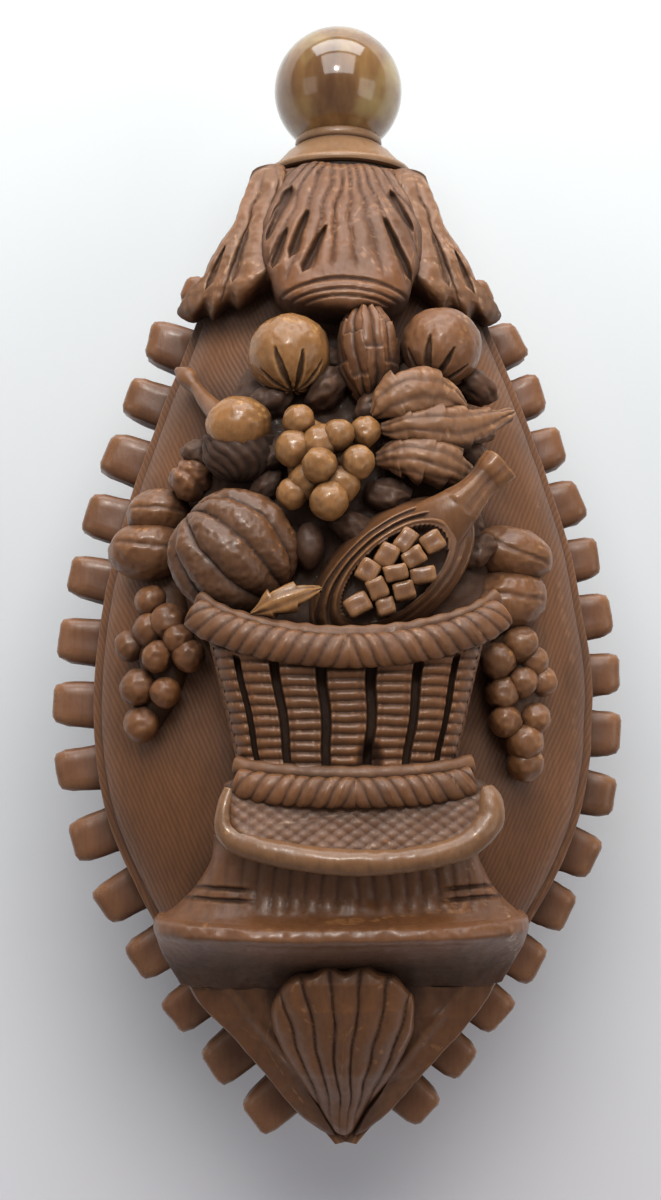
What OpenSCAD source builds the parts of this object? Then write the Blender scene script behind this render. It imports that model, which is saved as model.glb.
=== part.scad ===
// Carved nut flask with a screw stopper and a ball finial.
// Millimetres. The origin is the middle of the flat resting face on the back,
// +X is across the flask, +Y runs along it toward the stopper, and +Z comes out of the carved front.
// Heights of the carving are given above the joint plane, where the two half shells meet the toothed band.

/* [Flask] */
// Height of the joint plane above the resting face
joint_h = 15; // [14:0.5:16]
// Y of the pointed tip
tip_y = -46.5; // [-48:0.5:-45]
// Y of the end face of the neck
neck_y = 31.1; // [31:0.1:32.4]
// Half width of the belly
belly_w = 19.5; // [18.5:0.1:21]
// Height of the front ground at the belly
front_h = 12; // [11.5:0.1:12.5]
// Depth of the back at the belly
back_h = 11.5; // [11:0.1:12]
// Half width, half length and half height of the cavity
cavity_r = [12, 26, 7.3]; // [5:0.1:27]
// Y of the middle of the cavity
cavity_y = -5; // [-7:0.5:-4]

/* [Toothed band] */
// Thickness of the band between the half shells
band_t = 3.6; // [3:0.1:4]
// Width of a tooth along the rim
tooth_w = 3.7; // [3:0.1:4]
// How far a left tooth stands out
left_tooth = 3.9; // [3:0.1:4.5]
// How far a right tooth stands out
right_tooth = 3.1; // [3:0.1:4.5]
// Step between left teeth along the rim
left_pitch = 5.0; // [4.9:0.05:5.2]
// Step between right teeth along the rim
right_pitch = 4.65; // [4.6:0.05:5]
// Distance along the rim from the tip to the first tooth
first_tooth = 5.2; // [4.5:0.1:6]

/* [Neck and stopper] */
// Radius of the neck bush
bush_r = 4.8; // [4.7:0.05:4.9]
// Y of the inner end of the neck bush
bush_y = 18; // [17:0.5:19]
// Radius of the bore in the bush
bore_r = 3.35; // [3.3:0.01:3.4]
// Radial gap between the plug and the bore
plug_gap = 0.05; // [0.03:0.01:0.08]
// Rise of the thread in one turn
thread_pitch = 1.8; // [1.6:0.1:2]
// Height of the thread above the plug's core
thread_h = 0.55; // [0.4:0.05:0.6]
// Y of the inner end of the plug
plug_y = 24.5; // [24:0.1:25]
// Thickness of the seal washer
washer_t = 0.7; // [0.5:0.1:1]
// Radius of the stopper's flange
flange_r = 6.1; // [5.8:0.1:6.3]
// Radius of the ball finial
ball_r = 5.35; // [5:0.05:5.6]
// Y of the middle of the ball
ball_y = 39.45; // [39:0.05:40.2]
// Radius of the peg between the cup and the ball
peg_r = 1.2; // [1:0.1:1.5]

/* [Fruit] */
// Middle of the ribbed melon
melon_at = [-8.3, -1.4, 15.6]; // [-20:0.1:20]
// Half axes of the ribbed melon
melon_r = [4.7, 4.6, 3.8]; // [3:0.1:5]
// Middle of the left apple
left_apple_at = [-4.1, 13.9, 14.0]; // [-20:0.1:20]
// Middle of the right apple
right_apple_at = [7.4, 14.5, 13.6]; // [-20:0.1:20]
// Radius of an apple
apple_r = 3.1; // [2.5:0.1:3.4]
// Half axes of the artichoke between the apples
artichoke_r = [2.2, 3.5, 2.5]; // [1.5:0.1:3.5]
// Middle of the open pod
pod_at = [3.5, -2.8, 15.8]; // [-20:0.1:20]
// Half axes of the open pod
pod_r = [6.8, 4.0, 4.2]; // [3:0.1:7]
// Turn of the pod about Z
pod_turn = 40; // [30:1:50]
// Radius of a berry
berry_r = 1.25; // [1:0.05:1.4]

/* [Basket and foot] */
// Half width of the basket at its rim and at its foot
basket_w = [10.2, 7.9]; // [6:0.1:11]
// Y of the basket's rim and foot at its sides
basket_y = [-7.3, -17.6]; // [-19:0.1:-5]
// Height of the basket's front at its rim and at its foot
basket_z = [21.0, 19.4]; // [18:0.1:22]
// Radius of the twisted ropes round the basket
rope_r = 1.05; // [0.7:0.05:1.2]
// Half width of the tray under the basket
tray_w = 9.7; // [8:0.1:10]
// Half width of the base slab
slab_w = 13.9; // [12:0.1:14.2]
// Y of the underside of the base slab
slab_y = -30.6; // [-31.5:0.1:-27]

/* [Back] */
// Half width and half length of the resting face
rest_r = [11, 17]; // [9:0.5:18]
// Y of the middle of the resting face
rest_y = 0; // [-2:0.5:2]

/* [Hidden] */
$fn = 48;
sweep_sides = 14;
station_step = 2.6;
half_band = band_t / 2;
seal_y = neck_y + washer_t;
core_r = bore_r - plug_gap;
crest_r = core_r + thread_h;
groove_gap = 0.12;
thread_segments = 16;
body_l = neck_y - tip_y;

// Share of the belly's half width against the share of the length from the tip to the neck
rim_shape = [[0, 0.05], [0.10, 0.39], [0.206, 0.705], [0.322, 0.935], [0.438, 1], [0.567, 0.945],
             [0.696, 0.80], [0.825, 0.61], [0.928, 0.45], [1, 0.336]];
// Share of the belly's height against the same share of the length
dome_shape = [[0, 0.24], [0.10, 0.47], [0.206, 0.75], [0.335, 0.95], [0.46, 1], [0.593, 1],
              [0.72, 0.93], [0.85, 0.75], [1, 0.525]];

// ---- Curves through tables of [position, value] ----

function segment_of(table, x, i = 0) =
    (i >= len(table) - 2 || x <= table[i + 1][0]) ? i : segment_of(table, x, i + 1);

function slope_at(table, i) =
    let (a = table[max(i - 1, 0)], b = table[min(i + 1, len(table) - 1)])
    (b[1] - a[1]) / (b[0] - a[0]);

// Smooth curve through the table's points
function smooth(table, x) =
    let (i = segment_of(table, x), a = table[i], b = table[i + 1],
         h = b[0] - a[0], t = (x - a[0]) / h)
    (2*t*t*t - 3*t*t + 1) * a[1] + (t*t*t - 2*t*t + t) * h * slope_at(table, i)
    + (3*t*t - 2*t*t*t) * b[1] + (t*t*t - t*t) * h * slope_at(table, i + 1);

function share(y) = (y - tip_y) / body_l;
function rim_w(y) = belly_w * smooth(rim_shape, share(y));
function dome(y, height) = height * smooth(dome_shape, share(y));
// Height of the side wall, which runs out toward the tip
function wall_h(y, height) = half_band + 0.22 * (dome(y, height) - half_band);

// ---- Solids swept through stations ----

function total(vectors) = [for (v = vectors) 1] * vectors;
function centre(ring) = total(ring) / len(ring);
// Points along the ring's axis, by the right-hand rule
function ring_normal(ring) = total([for (j = [0:len(ring) - 1]) cross(ring[j], ring[(j + 1) % len(ring)])]);
function reversed(list) = [for (i = [len(list) - 1:-1:0]) list[i]];

// One closed solid through rings of points that all run the same way round
module loft(rings) {
    n = len(rings[0]);
    m = len(rings);
    forward = ring_normal(rings[0]) * (centre(rings[1]) - centre(rings[0])) > 0;
    sides = [for (i = [0:m - 2], j = [0:n - 1]) let (k = (j + 1) % n)
             each [[i*n + j, (i + 1)*n + j, (i + 1)*n + k], [i*n + j, (i + 1)*n + k, i*n + k]]];
    near_cap = [for (j = [1:n - 2]) [0, j, j + 1]];
    far_cap = [for (j = [1:n - 2]) [(m - 1)*n, (m - 1)*n + j + 1, (m - 1)*n + j]];
    faces = concat(sides, near_cap, far_cap);
    polyhedron(points = [for (ring = rings) each ring],
               faces = forward ? faces : [for (face = faces) reversed(face)]);
}

function unit(v) = v / norm(v);

// Ring round a station [x, y, z, half width, height, depth] that faces along the given direction
function station_ring(s, along, count) =
    let (side = unit(cross(along, [0, 0, 1])), up = cross(side, along))
    [for (i = [0:count - 1]) let (a = 360 * i / count, v = sin(a))
     [s.x, s.y, s.z] + s[3] * cos(a) * side + (v > 0 ? s[4] : s[5]) * v * up];

// Solid with a rounded section through stations [x, y, z, half width, height, depth]
module sweep(stations, count = sweep_sides) {
    last = len(stations) - 1;
    loft([for (i = [0:last])
          let (a = stations[max(i - 1, 0)], b = stations[min(i + 1, last)])
          station_ring(stations[i], unit([b.x - a.x, b.y - a.y, b.z - a.z]), count)]);
}

// Arch of points from one end to the other, with its middle moved by sag
function arch(from, to, sag, steps) =
    [for (i = [0:steps]) let (t = i / steps) from + (to - from) * t + sag * 4 * t * (1 - t)];

// Round cord along points
module cord(points, radius, count = sweep_sides) {
    sweep([for (p = points) [p.x, p.y, p.z, radius, radius, radius]], count);
}

module ellipsoid(at, radii, turn = 0) {
    translate(at) rotate([0, 0, turn]) scale(radii) sphere(1);
}

module above_joint() {
    translate([0, 0, joint_h]) children();
}

// ---- Flask ----

// Half of the flask's outer form: from the band's face up to the dome
function shell_ring(y, height) =
    let (w = rim_w(y), top = dome(y, height), side = wall_h(y, height))
    concat([[-w, y, half_band]],
           [for (a = [180:-12:0]) [w * cos(a), y, side + (top - side) * sin(a)]],
           [[w, y, half_band]]);

module half_form(height) {
    steps = round(body_l / station_step);
    loft([for (i = [0:steps]) shell_ring(tip_y + body_l * i / steps, height)]);
}

module cavity() {
    translate([0, cavity_y, 0]) scale(cavity_r) sphere(1);
}

module along_neck(y) {
    translate([0, y, 0]) rotate([-90, 0, 0]) children();
}

module bush_seat() {
    seat_gap = 0.05;
    along_neck(bush_y) cylinder(r = bush_r + seat_gap, h = neck_y - bush_y + 1);
}

module front_shell() {
    color("#8a5a35") above_joint() difference() {
        half_form(front_h);
        cavity();
        bush_seat();
    }
}

module back_shell() {
    color("#855431") above_joint() difference() {
        mirror([0, 0, 1]) half_form(back_h);
        cavity();
        bush_seat();
    }
}

// Points of the rim from the tip to the neck, and the length along it at each
rim_step = 0.5;
rim_points = [for (y = [tip_y:rim_step:neck_y]) [rim_w(y), y]];
rim_lengths = [for (i = 0, s = 0; i < len(rim_points);
                    s = s + (i + 1 < len(rim_points) ? norm(rim_points[i + 1] - rim_points[i]) : 0), i = i + 1)
               [s, rim_points[i].y]];

// Tooth with broken corners, standing out along +X
module tooth(out, width) {
    root = 1.5;
    corner = 0.6;
    h = width / 2;
    polygon([[-root, -h], [out - corner, -h], [out, corner - h], [out, h - corner], [out - corner, h], [-root, h]]);
}

// Row of teeth along the right rim, which shrinks beside the collar
module tooth_row(out, pitch) {
    full_until = 17;
    last_y = 23.5;
    for (i = [0:30]) {
        s = first_tooth + i * pitch;
        y = lookup(s, rim_lengths);
        lean = atan2(rim_w(y + 0.5) - rim_w(y - 0.5), 1);
        size = y < full_until ? 1 : 0.72;
        if (y < last_y)
            translate([rim_w(y), y]) rotate(-lean) tooth(out * size, tooth_w * size);
    }
}

module band_outline() {
    polygon(concat([for (y = [tip_y:2:neck_y]) [rim_w(y), y]], [[rim_w(neck_y), neck_y], [-rim_w(neck_y), neck_y]],
                   [for (y = [neck_y:-2:tip_y]) [-rim_w(y), y]], [[-rim_w(tip_y), tip_y]]));
}

module toothed_band() {
    color("#7d4c2c") above_joint() difference() {
        translate([0, 0, -half_band]) linear_extrude(band_t) {
            band_outline();
            tooth_row(right_tooth, right_pitch);
            mirror([1, 0]) tooth_row(left_tooth, left_pitch);
        }
        cavity();
        bush_seat();
    }
}

// ---- Neck, stopper and finial ----

// Helical ridge: half heights are those at the inner and the outer radius
module helix(inner, outer, inner_half, outer_half, from_turn, to_turn) {
    steps = ceil((to_turn - from_turn) * thread_segments);
    loft([for (i = [0:steps])
          let (turn = from_turn + i / thread_segments, a = 360 * turn, h = thread_pitch * turn)
          [[inner * cos(a), inner * sin(a), h - inner_half], [inner * cos(a), inner * sin(a), h + inner_half],
           [outer * cos(a), outer * sin(a), h + outer_half], [outer * cos(a), outer * sin(a), h - outer_half]]]);
}

thread_root = 0.6;
thread_crest = 0.25;

module neck_bush() {
    length = neck_y - bush_y;
    first_turn = (plug_y - bush_y) / thread_pitch - 0.2;
    last_turn = length / thread_pitch + 1;
    color("#6d3f22") above_joint() along_neck(bush_y) difference() {
        cylinder(r = bush_r, h = length);
        translate([0, 0, -1]) cylinder(r = bore_r, h = length + 2);
        helix(bore_r - 0.4, crest_r + groove_gap, thread_root + groove_gap + 0.06, thread_crest + groove_gap,
              first_turn, last_turn);
    }
}

module seal_washer() {
    hole_gap = 0.1;
    color("#2a1a12") above_joint() along_neck(neck_y) difference() {
        cylinder(r = flange_r - 0.5, h = washer_t);
        translate([0, 0, -1]) cylinder(r = crest_r + hole_gap, h = washer_t + 2);
    }
}

// Outline of the turned stopper from the plug's end to the cup under the ball
module stopper_outline() {
    cup_r = 3.8;
    cup_y = ball_y - 4.0;
    polygon([[0, plug_y], [core_r - 0.4, plug_y], [core_r, plug_y + 0.4], [core_r, seal_y],
             [flange_r, seal_y], [flange_r + 0.05, seal_y + 0.35], [flange_r - 0.2, seal_y + 0.7],
             [flange_r - 0.75, seal_y + 0.9], [flange_r - 1.15, seal_y + 1.5], [flange_r - 1.6, seal_y + 2.2],
             [cup_r + 0.2, seal_y + 2.7], [cup_r - 0.15, seal_y + 2.9], [cup_r, seal_y + 3.1],
             [cup_r - 0.05, cup_y], [0, cup_y]]);
}

module peg_hole() {
    peg_y = ball_y - 6;
    along_neck(peg_y) cylinder(r = peg_r, h = 3.5);
}

module stopper() {
    // The thread starts and ends inside the plug, on the same helix as the bush's groove
    first_turn = (plug_y + 0.9 - bush_y) / thread_pitch;
    last_turn = (neck_y - 0.9 - bush_y) / thread_pitch;
    color("#8d5f3a") above_joint() difference() {
        union() {
            rotate([-90, 0, 0]) rotate_extrude() stopper_outline();
            along_neck(bush_y) helix(core_r - 0.4, crest_r, thread_root, thread_crest, first_turn, last_turn);
        }
        along_neck(ball_y) sphere(ball_r);
        peg_hole();
    }
}

module ball_peg() {
    color("#6d3f22") above_joint() peg_hole();
}

module ball_finial() {
    color("#b5803a") above_joint() difference() {
        along_neck(ball_y) sphere(ball_r);
        peg_hole();
    }
}

// ---- Collar round the neck ----

// Fan that rises from the neck to a lip over the fruit
module palmette(lip_y, rise, depth) {
    sweep([[0, 30.5, 6.1, 3.5, 0.7, 0.7], [0, 28.8, 6.8 + rise / 2, 4.6, 1.2, 0.5 * depth],
           [0, 25.8, 8.0 + rise, 5.8, 1.5, 0.8 * depth], [0, 23.2, 9.3 + rise, 6.5, 1.6, 0.9 * depth],
           [0, 20.6, 10.4 + rise, 6.2, 1.6, depth], [0, lip_y, 11.2 + rise, 4.6, 1.3, 0.8 * depth]]);
}

module front_palmette() {
    color("#84552f") above_joint() palmette(18.2, 2, 2.8);
}

module back_palmette() {
    color("#84552f") above_joint() mirror([0, 0, 1]) palmette(18.9, -0.9, 1.4);
}

module collar_leaf(tip) {
    sweep([[5.7, 30.9, 3.7, 1.2, 0.9, 0.8], [7.2, 28.1, 4.4, 2.1, 1.3, 1.1], [8.7, 24.8, 5.6, 2.6, 1.6, 1.5],
           [9.6, 21.9, 6.8, 2.5, 1.5, 1.6], [tip.x, tip.y, tip.z, 1.4, 1.0, 1.3]]);
}

module left_collar_leaf() {
    color("#7f4f2c") above_joint() mirror([1, 0, 0]) collar_leaf([10.1, 19.1, 7.6]);
}

module right_collar_leaf() {
    color("#7f4f2c") above_joint() collar_leaf([10.2, 18.5, 7.6]);
}

// ---- Fruit ----

module fruit_bed() {
    color("#4c2f1c") above_joint() sweep([
        [0.9, 16.8, 10.6, 7.5, 1, 1.4], [0.7, 14.1, 10.9, 9.7, 2, 1.8], [0.3, 8.8, 11.6, 11.3, 2.8, 2.3],
        [-0.1, 2.3, 11.9, 12.6, 3.4, 2.7], [-0.1, -4.3, 12, 12.4, 3.8, 2.8], [0.1, -8.7, 12, 9.8, 3.4, 2.8]]);
}

module left_apple() {
    color("#b57a3c") above_joint() translate(left_apple_at) sphere(apple_r);
}

module right_apple() {
    color("#96633a") above_joint() translate(right_apple_at) sphere(apple_r);
}

module artichoke() {
    color("#8a5a35") above_joint() ellipsoid([1.9, 14.0, 13.8], artichoke_r);
}

module upper_leaf() {
    color("#84543a") above_joint() sweep([
        [2.3, 9, 16, 0.8, 0.6, 1.2], [3.7, 9.7, 16.4, 1.8, 1, 2.6], [5.5, 10.1, 16.2, 1.9, 1, 2.8],
        [7.5, 10.2, 15.4, 1.6, 0.9, 2.6], [8.6, 10, 14.8, 0.8, 0.6, 2]]);
}

module middle_leaf() {
    color("#84543a") above_joint() sweep([
        [2.8, 7.8, 16, 0.7, 0.6, 1.6], [5.3, 7.9, 16.4, 1.2, 0.9, 2.8], [8.4, 7.8, 15.4, 1.7, 0.9, 3.2],
        [11.1, 8.7, 13.8, 1.4, 0.8, 3], [13.2, 9.6, 12.4, 0.5, 0.5, 2.6]]);
}

module lower_leaf() {
    color("#7b4c33") above_joint() sweep([
        [2.6, 5.6, 15.6, 0.9, 0.7, 1.6], [5.1, 5.8, 16.2, 1.8, 1.1, 2.8], [7.5, 5.2, 16, 1.8, 1, 3],
        [9.7, 4.1, 15.2, 0.9, 0.7, 2.6]]);
}

acorn_at = [-8.0, 7.5, 14.6];

module acorn_nut() {
    color("#a8622a") above_joint() ellipsoid(acorn_at + [0, 1.0, 0.5], [2.2, 2.1, 2.2]);
}

module acorn_cup() {
    cup_r = 2.6;
    color("#5a3822") above_joint() translate(acorn_at + [0, 0.3, 0]) rotate([90, 0, 0])
        cylinder(r1 = cup_r, r2 = cup_r - 1.0, h = 3.3);
}

module acorn_stem() {
    color("#96633a") above_joint()
        sweep([[-12.8, 13.8, 8, 0.5, 0.5, 0.9], [-11.6, 12.4, 9.6, 0.6, 0.6, 1.4],
               [-10.5, 10.7, 11.2, 0.8, 0.7, 2], [-9.1, 9.2, 13.4, 0.9, 0.8, 2.6]], 8);
}

// Bunch of berries, each a coarse ball
module berries(places, radius) {
    for (p = places) translate(p) sphere(radius, $fn = 10);
}

module centre_grapes() {
    color("#9c6b3c") above_joint() {
        berries([[-3.4, 8.3, 17], [-0.5, 7.1, 17.6], [-3.8, 6.2, 17.1], [-1.9, 4.7, 18.5], [0.9, 5, 18],
                 [-3.9, 2.8, 17], [-1.2, 2.1, 18.4], [1.5, 7.5, 16.6], [-1.9, 6.5, 17.2], [-0.3, 3.4, 17.6],
                 [-2.8, 3.8, 17], [-2.6, 7.2, 15.7], [-0.3, 5.8, 15.9], [-3, 4.8, 15.6], [-1.2, 3.3, 15.8]],
                berry_r + 0.12);
    }
}

module melon() {
    color("#7f5738") above_joint() ellipsoid(melon_at, melon_r, -45);
}

module small_nut() {
    color("#5b3c28") above_joint() ellipsoid([-2.7, -0.9, 16.0], [1.1, 1.8, 1.4]);
}

// Height of the pod's open face above its middle
pod_face = 3.0;

module pod_husk() {
    color("#875a37") above_joint() difference() {
        ellipsoid(pod_at, pod_r, pod_turn);
        translate(pod_at + [0, 0, pod_face + 5]) cube([20, 20, 10], center = true);
    }
}

module pod_neck() {
    color("#875a37") above_joint()
        sweep([[7.4, 0.6, 16.8, 1.8, 1.4, 1.6], [9.2, 2.3, 16.9, 1.4, 1.2, 1.4], [10.5, 3.9, 16.6, 1.1, 1, 1.2],
               [11.3, 4.9, 16.4, 1.3, 1.1, 1.3]], 10);
}

module pod_seeds() {
    seed = [1.45, 1.3, 1.4];
    color("#96602f") above_joint() translate(pod_at + [0, 0, pod_face + 0.3]) rotate([0, 0, pod_turn])
        for (i = [-2:2], j = [-1:1])
            if (abs(i) + abs(j) < 3)
                translate([1.75 * i + 0.45 * j, 1.45 * j, 0]) cube(seed, center = true);
}

module rim_petal() {
    color("#a06a35") above_joint() sweep([
        [-6.8, -6.4, 19.4, 0.3, 0.3, 0.8], [-5.4, -5.7, 19.6, 0.9, 0.5, 4.4], [-3.5, -5.1, 19.5, 0.9, 0.5, 4.4],
        [-2.1, -4.7, 19.2, 0.3, 0.3, 1.6]], 10);
}

module left_bud() {
    color("#7b4c30") above_joint() translate([-11.8, 4.6, 11.8]) rotate([0, 0, 12])
        cube([2.7, 2.9, 3.4], center = true);
}

module left_peach() {
    color("#85563a") above_joint() {
        ellipsoid([-14.3, 2.3, 9.6], [2.4, 1.8, 2.3], 8);
        ellipsoid([-15.2, -0.2, 9.6], [3.0, 2.1, 2.6], 4);
    }
}

module right_peach() {
    color("#85563a") above_joint() {
        ellipsoid([12.6, -1.2, 11.4], [3.3, 2.0, 2.6], -6);
        ellipsoid([12.4, -4.6, 11.2], [3.2, 2.4, 2.8], 0);
    }
}

module left_grapes() {
    color("#8a5a35") above_joint() {
        berries([[-14.8, -4.5, 10.6], [-13.4, -6.2, 11.6], [-16.4, -7.8, 10], [-14.2, -8.8, 11.9],
                 [-11.8, -8.8, 12.4], [-15.7, -11.1, 10.8], [-13.6, -11.5, 11.8], [-15.5, -13.9, 10.6],
                 [-12.6, -7.5, 12.2], [-14.9, -6.7, 11]], berry_r + 0.1);
        sweep([[-13.4, -3.6, 9.8, 1.1, 1, 1.2], [-13.7, -6.9, 10.2, 2, 1.3, 1.6],
               [-13.9, -10.3, 10, 1.7, 1.3, 1.6], [-14.9, -13.9, 9.2, 0.9, 1.2, 1.3]], 10);
    }
}

module right_grapes() {
    color("#8a5a35") above_joint() {
        berries([[13.3, -8, 11.9], [11.6, -9.3, 12.2], [13.4, -10.9, 12], [15.1, -10.8, 10.9],
                 [12.1, -13.8, 12], [14.4, -13.7, 11.4], [13.7, -17, 10.9], [13.6, -15.4, 11.5],
                 [11.9, -11.7, 12], [14.4, -9.3, 11.2]], berry_r + 0.1);
        sweep([[12.8, -6.9, 10.6, 1.3, 1, 1.2], [13, -9.9, 10.6, 2, 1.3, 1.6],
               [13, -13.5, 10.4, 1.7, 1.3, 1.6], [13.5, -17, 9.9, 0.9, 1.2, 1.4]], 10);
    }
}

// ---- Basket, tray and plinth ----

module basket() {
    floor_z = 13.4;
    color("#8f5c35") above_joint() loft([for (i = [0:4])
        let (t = i / 4, w = basket_w[0] + (basket_w[1] - basket_w[0]) * t,
             y = basket_y[0] + (basket_y[1] - basket_y[0]) * t,
             z = basket_z[0] + (basket_z[1] - basket_z[0]) * t,
             bow = -2.0 * (1 - t) - 0.5 * t)
        [for (a = [0:360 / 24:359]) let (v = sin(a))
         [-w * cos(a), y + bow * max(v, 0), v > 0 ? floor_z + (z - floor_z) * pow(v, 0.7) : floor_z + 2.6 * v]]]);
}

module basket_rim_rope() {
    color("#9a6238") above_joint() cord(arch([-11.2, -6.6, 18.6], [11.2, -6.8, 18.6], [0, -2.6, 2.5], 10), rope_r);
}

module basket_foot_rope() {
    color("#9a6238") above_joint() cord(arch([-7.9, -18.4, 18.6], [8.9, -18.4, 18.6], [0, -0.8, 1.3], 8), rope_r);
}

// Half oval plate: flat at the basket, bowed toward the tip
function half_oval(w, back, front, count) =
    concat([[-w, back], [-w, back - 1]], [for (a = [180:180 / count:360]) [w * cos(a), back - 1 + (back - 1 - front) * sin(a)]],
           [[w, back - 1], [w, back]]);

module tray() {
    tray_back = -17.9;
    tray_front = -23.8;
    color("#8a5a35") above_joint() difference() {
        translate([0.3, 0, 10.4]) linear_extrude(9.4) polygon(half_oval(tray_w, tray_back, tray_front, 12));
        translate([-20, tray_back, 18.6]) rotate([-14, 0, 0]) translate([0, -8, 0]) cube([40, 16, 8]);
    }
}

module tray_lip() {
    color("#a5713f") above_joint()
        sweep([for (p = arch([-9.3, -21.6, 19.0], [10.4, -21.6, 19.0], [0, -2.3, 1.9], 10)) [p.x, p.y, p.z, 1.0, 0.9, 1.1]]);
}

module plinth() {
    color("#875632") above_joint() loft([
        for (s = [[-22.2, 9.8, 18.2], [-24.2, 10.1, 17.0], [-26.0, 11.1, 16.6], [-27.4, 12.4, 17.2], [-28.2, 13.4, 18.0]])
            [for (a = [0:15:345]) let (v = sin(a))
             [-s[1] * cos(a) - 0.4, s[0] - 0.5 * max(v, 0),
              v > 0 ? 11.2 + (s[2] - 11.2) * pow(v, 0.55) : 11.2 + 2.6 * v]]]);
}

module base_slab() {
    color("#875632") above_joint() loft([
        for (s = [[-28.2, slab_w, 18.6], [-29.4, slab_w + 0.1, 18.9], [slab_y, slab_w - 0.6, 18.2]])
            [for (a = [0:15:345]) let (v = sin(a))
             [-s[1] * cos(a) - 0.4, s[0] - 0.6 * max(v, 0), v > 0 ? 10.6 + (s[2] - 10.6) * pow(v, 0.5) : 10.6 + 3.0 * v]]]);
}

// Shell with its fan toward the neck and its hinge at the tip
module scallop(height) {
    sweep([[-0.3, -31.6, 12.0 + height, 2.2, 0.9, 2.4], [-0.4, -33.2, 11.6 + height, 4.2, 1.4, 3.0],
           [-0.4, -35.2, 10.8 + height, 5.0, 1.5, 3.0], [-0.4, -37.8, 9.0 + height, 4.5, 1.5, 2.8],
           [-0.3, -40.4, 7.0 + height, 3.4, 1.4, 2.2], [-0.1, -42.8, 4.8 + height / 2, 2.2, 1.2, 1.4],
           [0, -45.2, 3.2, 0.9, 0.8, 0.8]]);
}

module front_scallop() {
    color("#7b4a2e") above_joint() scallop(0.6);
}

module back_scallop() {
    color("#7b4a2e") above_joint() mirror([0, 0, 1]) scallop(-1.2);
}

module frame_strip(top) {
    sweep([[top.x, top.y, top.z, 1.5, 1.1, 1.8], [top.x * 0.83, top.y - 2.6, top.z - 0.6, 1.5, 1.1, 1.8],
           [top.x * 0.55, top.y - 6.6, top.z - 2.6, 1.1, 0.9, 1.5], [2.4, -43.8, 3.6, 0.5, 0.6, 0.9]], 10);
}

module left_frame_strip() {
    color("#855330") above_joint() mirror([1, 0, 0]) frame_strip([10.2, -33.2, 7.6]);
}

module right_frame_strip() {
    color("#855330") above_joint() frame_strip([9.4, -33.4, 7.8]);
}

// ---- Back ----

module back_cartouche() {
    boss_h = joint_h - back_h + 2;
    color("#845430") translate([0, rest_y, 0]) linear_extrude(boss_h)
        polygon([for (a = [0:5:355]) [rest_r.x * cos(a), rest_r.y * sin(a)]]);
}

module cartouche_rope() {
    rope_z = 2.9;
    steps = 36;
    color("#8f5c35") translate([0, rest_y, rope_z]) loft_ring(rest_r + [0.6, 0.6], steps);
}

// Closed oval cord, as one ring-shaped solid
module loft_ring(radii, steps) {
    sides = 8;
    points = [for (i = [0:steps - 1], j = [0:sides - 1])
              let (a = 360 * i / steps, b = 360 * j / sides, r = rope_r * cos(b))
              [(radii.x + r) * cos(a), (radii.y + r) * sin(a), rope_r * sin(b)]];
    faces = [for (i = [0:steps - 1], j = [0:sides - 1])
             let (k = (i + 1) % steps, l = (j + 1) % sides)
             each [[i*sides + j, k*sides + l, k*sides + j], [i*sides + j, i*sides + l, k*sides + l]]];
    polyhedron(points = points, faces = faces);
}

front_shell();
back_shell();
toothed_band();
neck_bush();
seal_washer();
stopper();
ball_peg();
ball_finial();
front_palmette();
back_palmette();
left_collar_leaf();
right_collar_leaf();
fruit_bed();
left_apple();
right_apple();
artichoke();
upper_leaf();
middle_leaf();
lower_leaf();
acorn_nut();
acorn_cup();
acorn_stem();
centre_grapes();
melon();
small_nut();
pod_husk();
pod_neck();
pod_seeds();
rim_petal();
left_bud();
left_peach();
right_peach();
left_grapes();
right_grapes();
basket();
basket_rim_rope();
basket_foot_rope();
tray();
tray_lip();
plinth();
base_slab();
front_scallop();
back_scallop();
left_frame_strip();
right_frame_strip();
back_cartouche();
cartouche_rope();
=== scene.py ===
# Looks of the carved nut flask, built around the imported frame.
import math
import bmesh
import bpy
import numpy as np
from mathutils import Matrix, Vector


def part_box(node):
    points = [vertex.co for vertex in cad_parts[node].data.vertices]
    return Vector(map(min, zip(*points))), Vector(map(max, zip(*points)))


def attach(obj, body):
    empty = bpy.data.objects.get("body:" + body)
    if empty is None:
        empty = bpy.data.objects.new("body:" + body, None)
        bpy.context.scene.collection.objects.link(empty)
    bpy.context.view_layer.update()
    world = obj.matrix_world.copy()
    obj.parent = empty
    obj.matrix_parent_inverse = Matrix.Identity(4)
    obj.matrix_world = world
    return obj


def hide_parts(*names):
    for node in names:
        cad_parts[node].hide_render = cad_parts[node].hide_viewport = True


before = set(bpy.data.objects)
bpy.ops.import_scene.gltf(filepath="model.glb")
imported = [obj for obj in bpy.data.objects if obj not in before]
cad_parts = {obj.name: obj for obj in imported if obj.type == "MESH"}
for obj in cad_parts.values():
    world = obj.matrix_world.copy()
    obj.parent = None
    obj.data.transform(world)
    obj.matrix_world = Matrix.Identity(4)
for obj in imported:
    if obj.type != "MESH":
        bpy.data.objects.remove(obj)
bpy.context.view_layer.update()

# Shapes below are in millimetres, with z counted from the joint plane as in the CAD source.
MM = 0.001
ball_low, ball_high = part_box("ball_finial")
JOINT_Z = (ball_low[2] + ball_high[2]) / 2 / MM


# ---------------------------------------------------------------- numbers and noise

def smoothstep(low, high, x):
    t = np.clip((x - low) / (high - low), 0, 1)
    return t * t * (3 - 2 * t)


def ridge(x, sharp=1.0):
    """Rounded ridges of period 1: 1 on each crest, 0 in each valley."""
    return np.abs(np.cos(math.pi * x)) ** sharp


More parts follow.
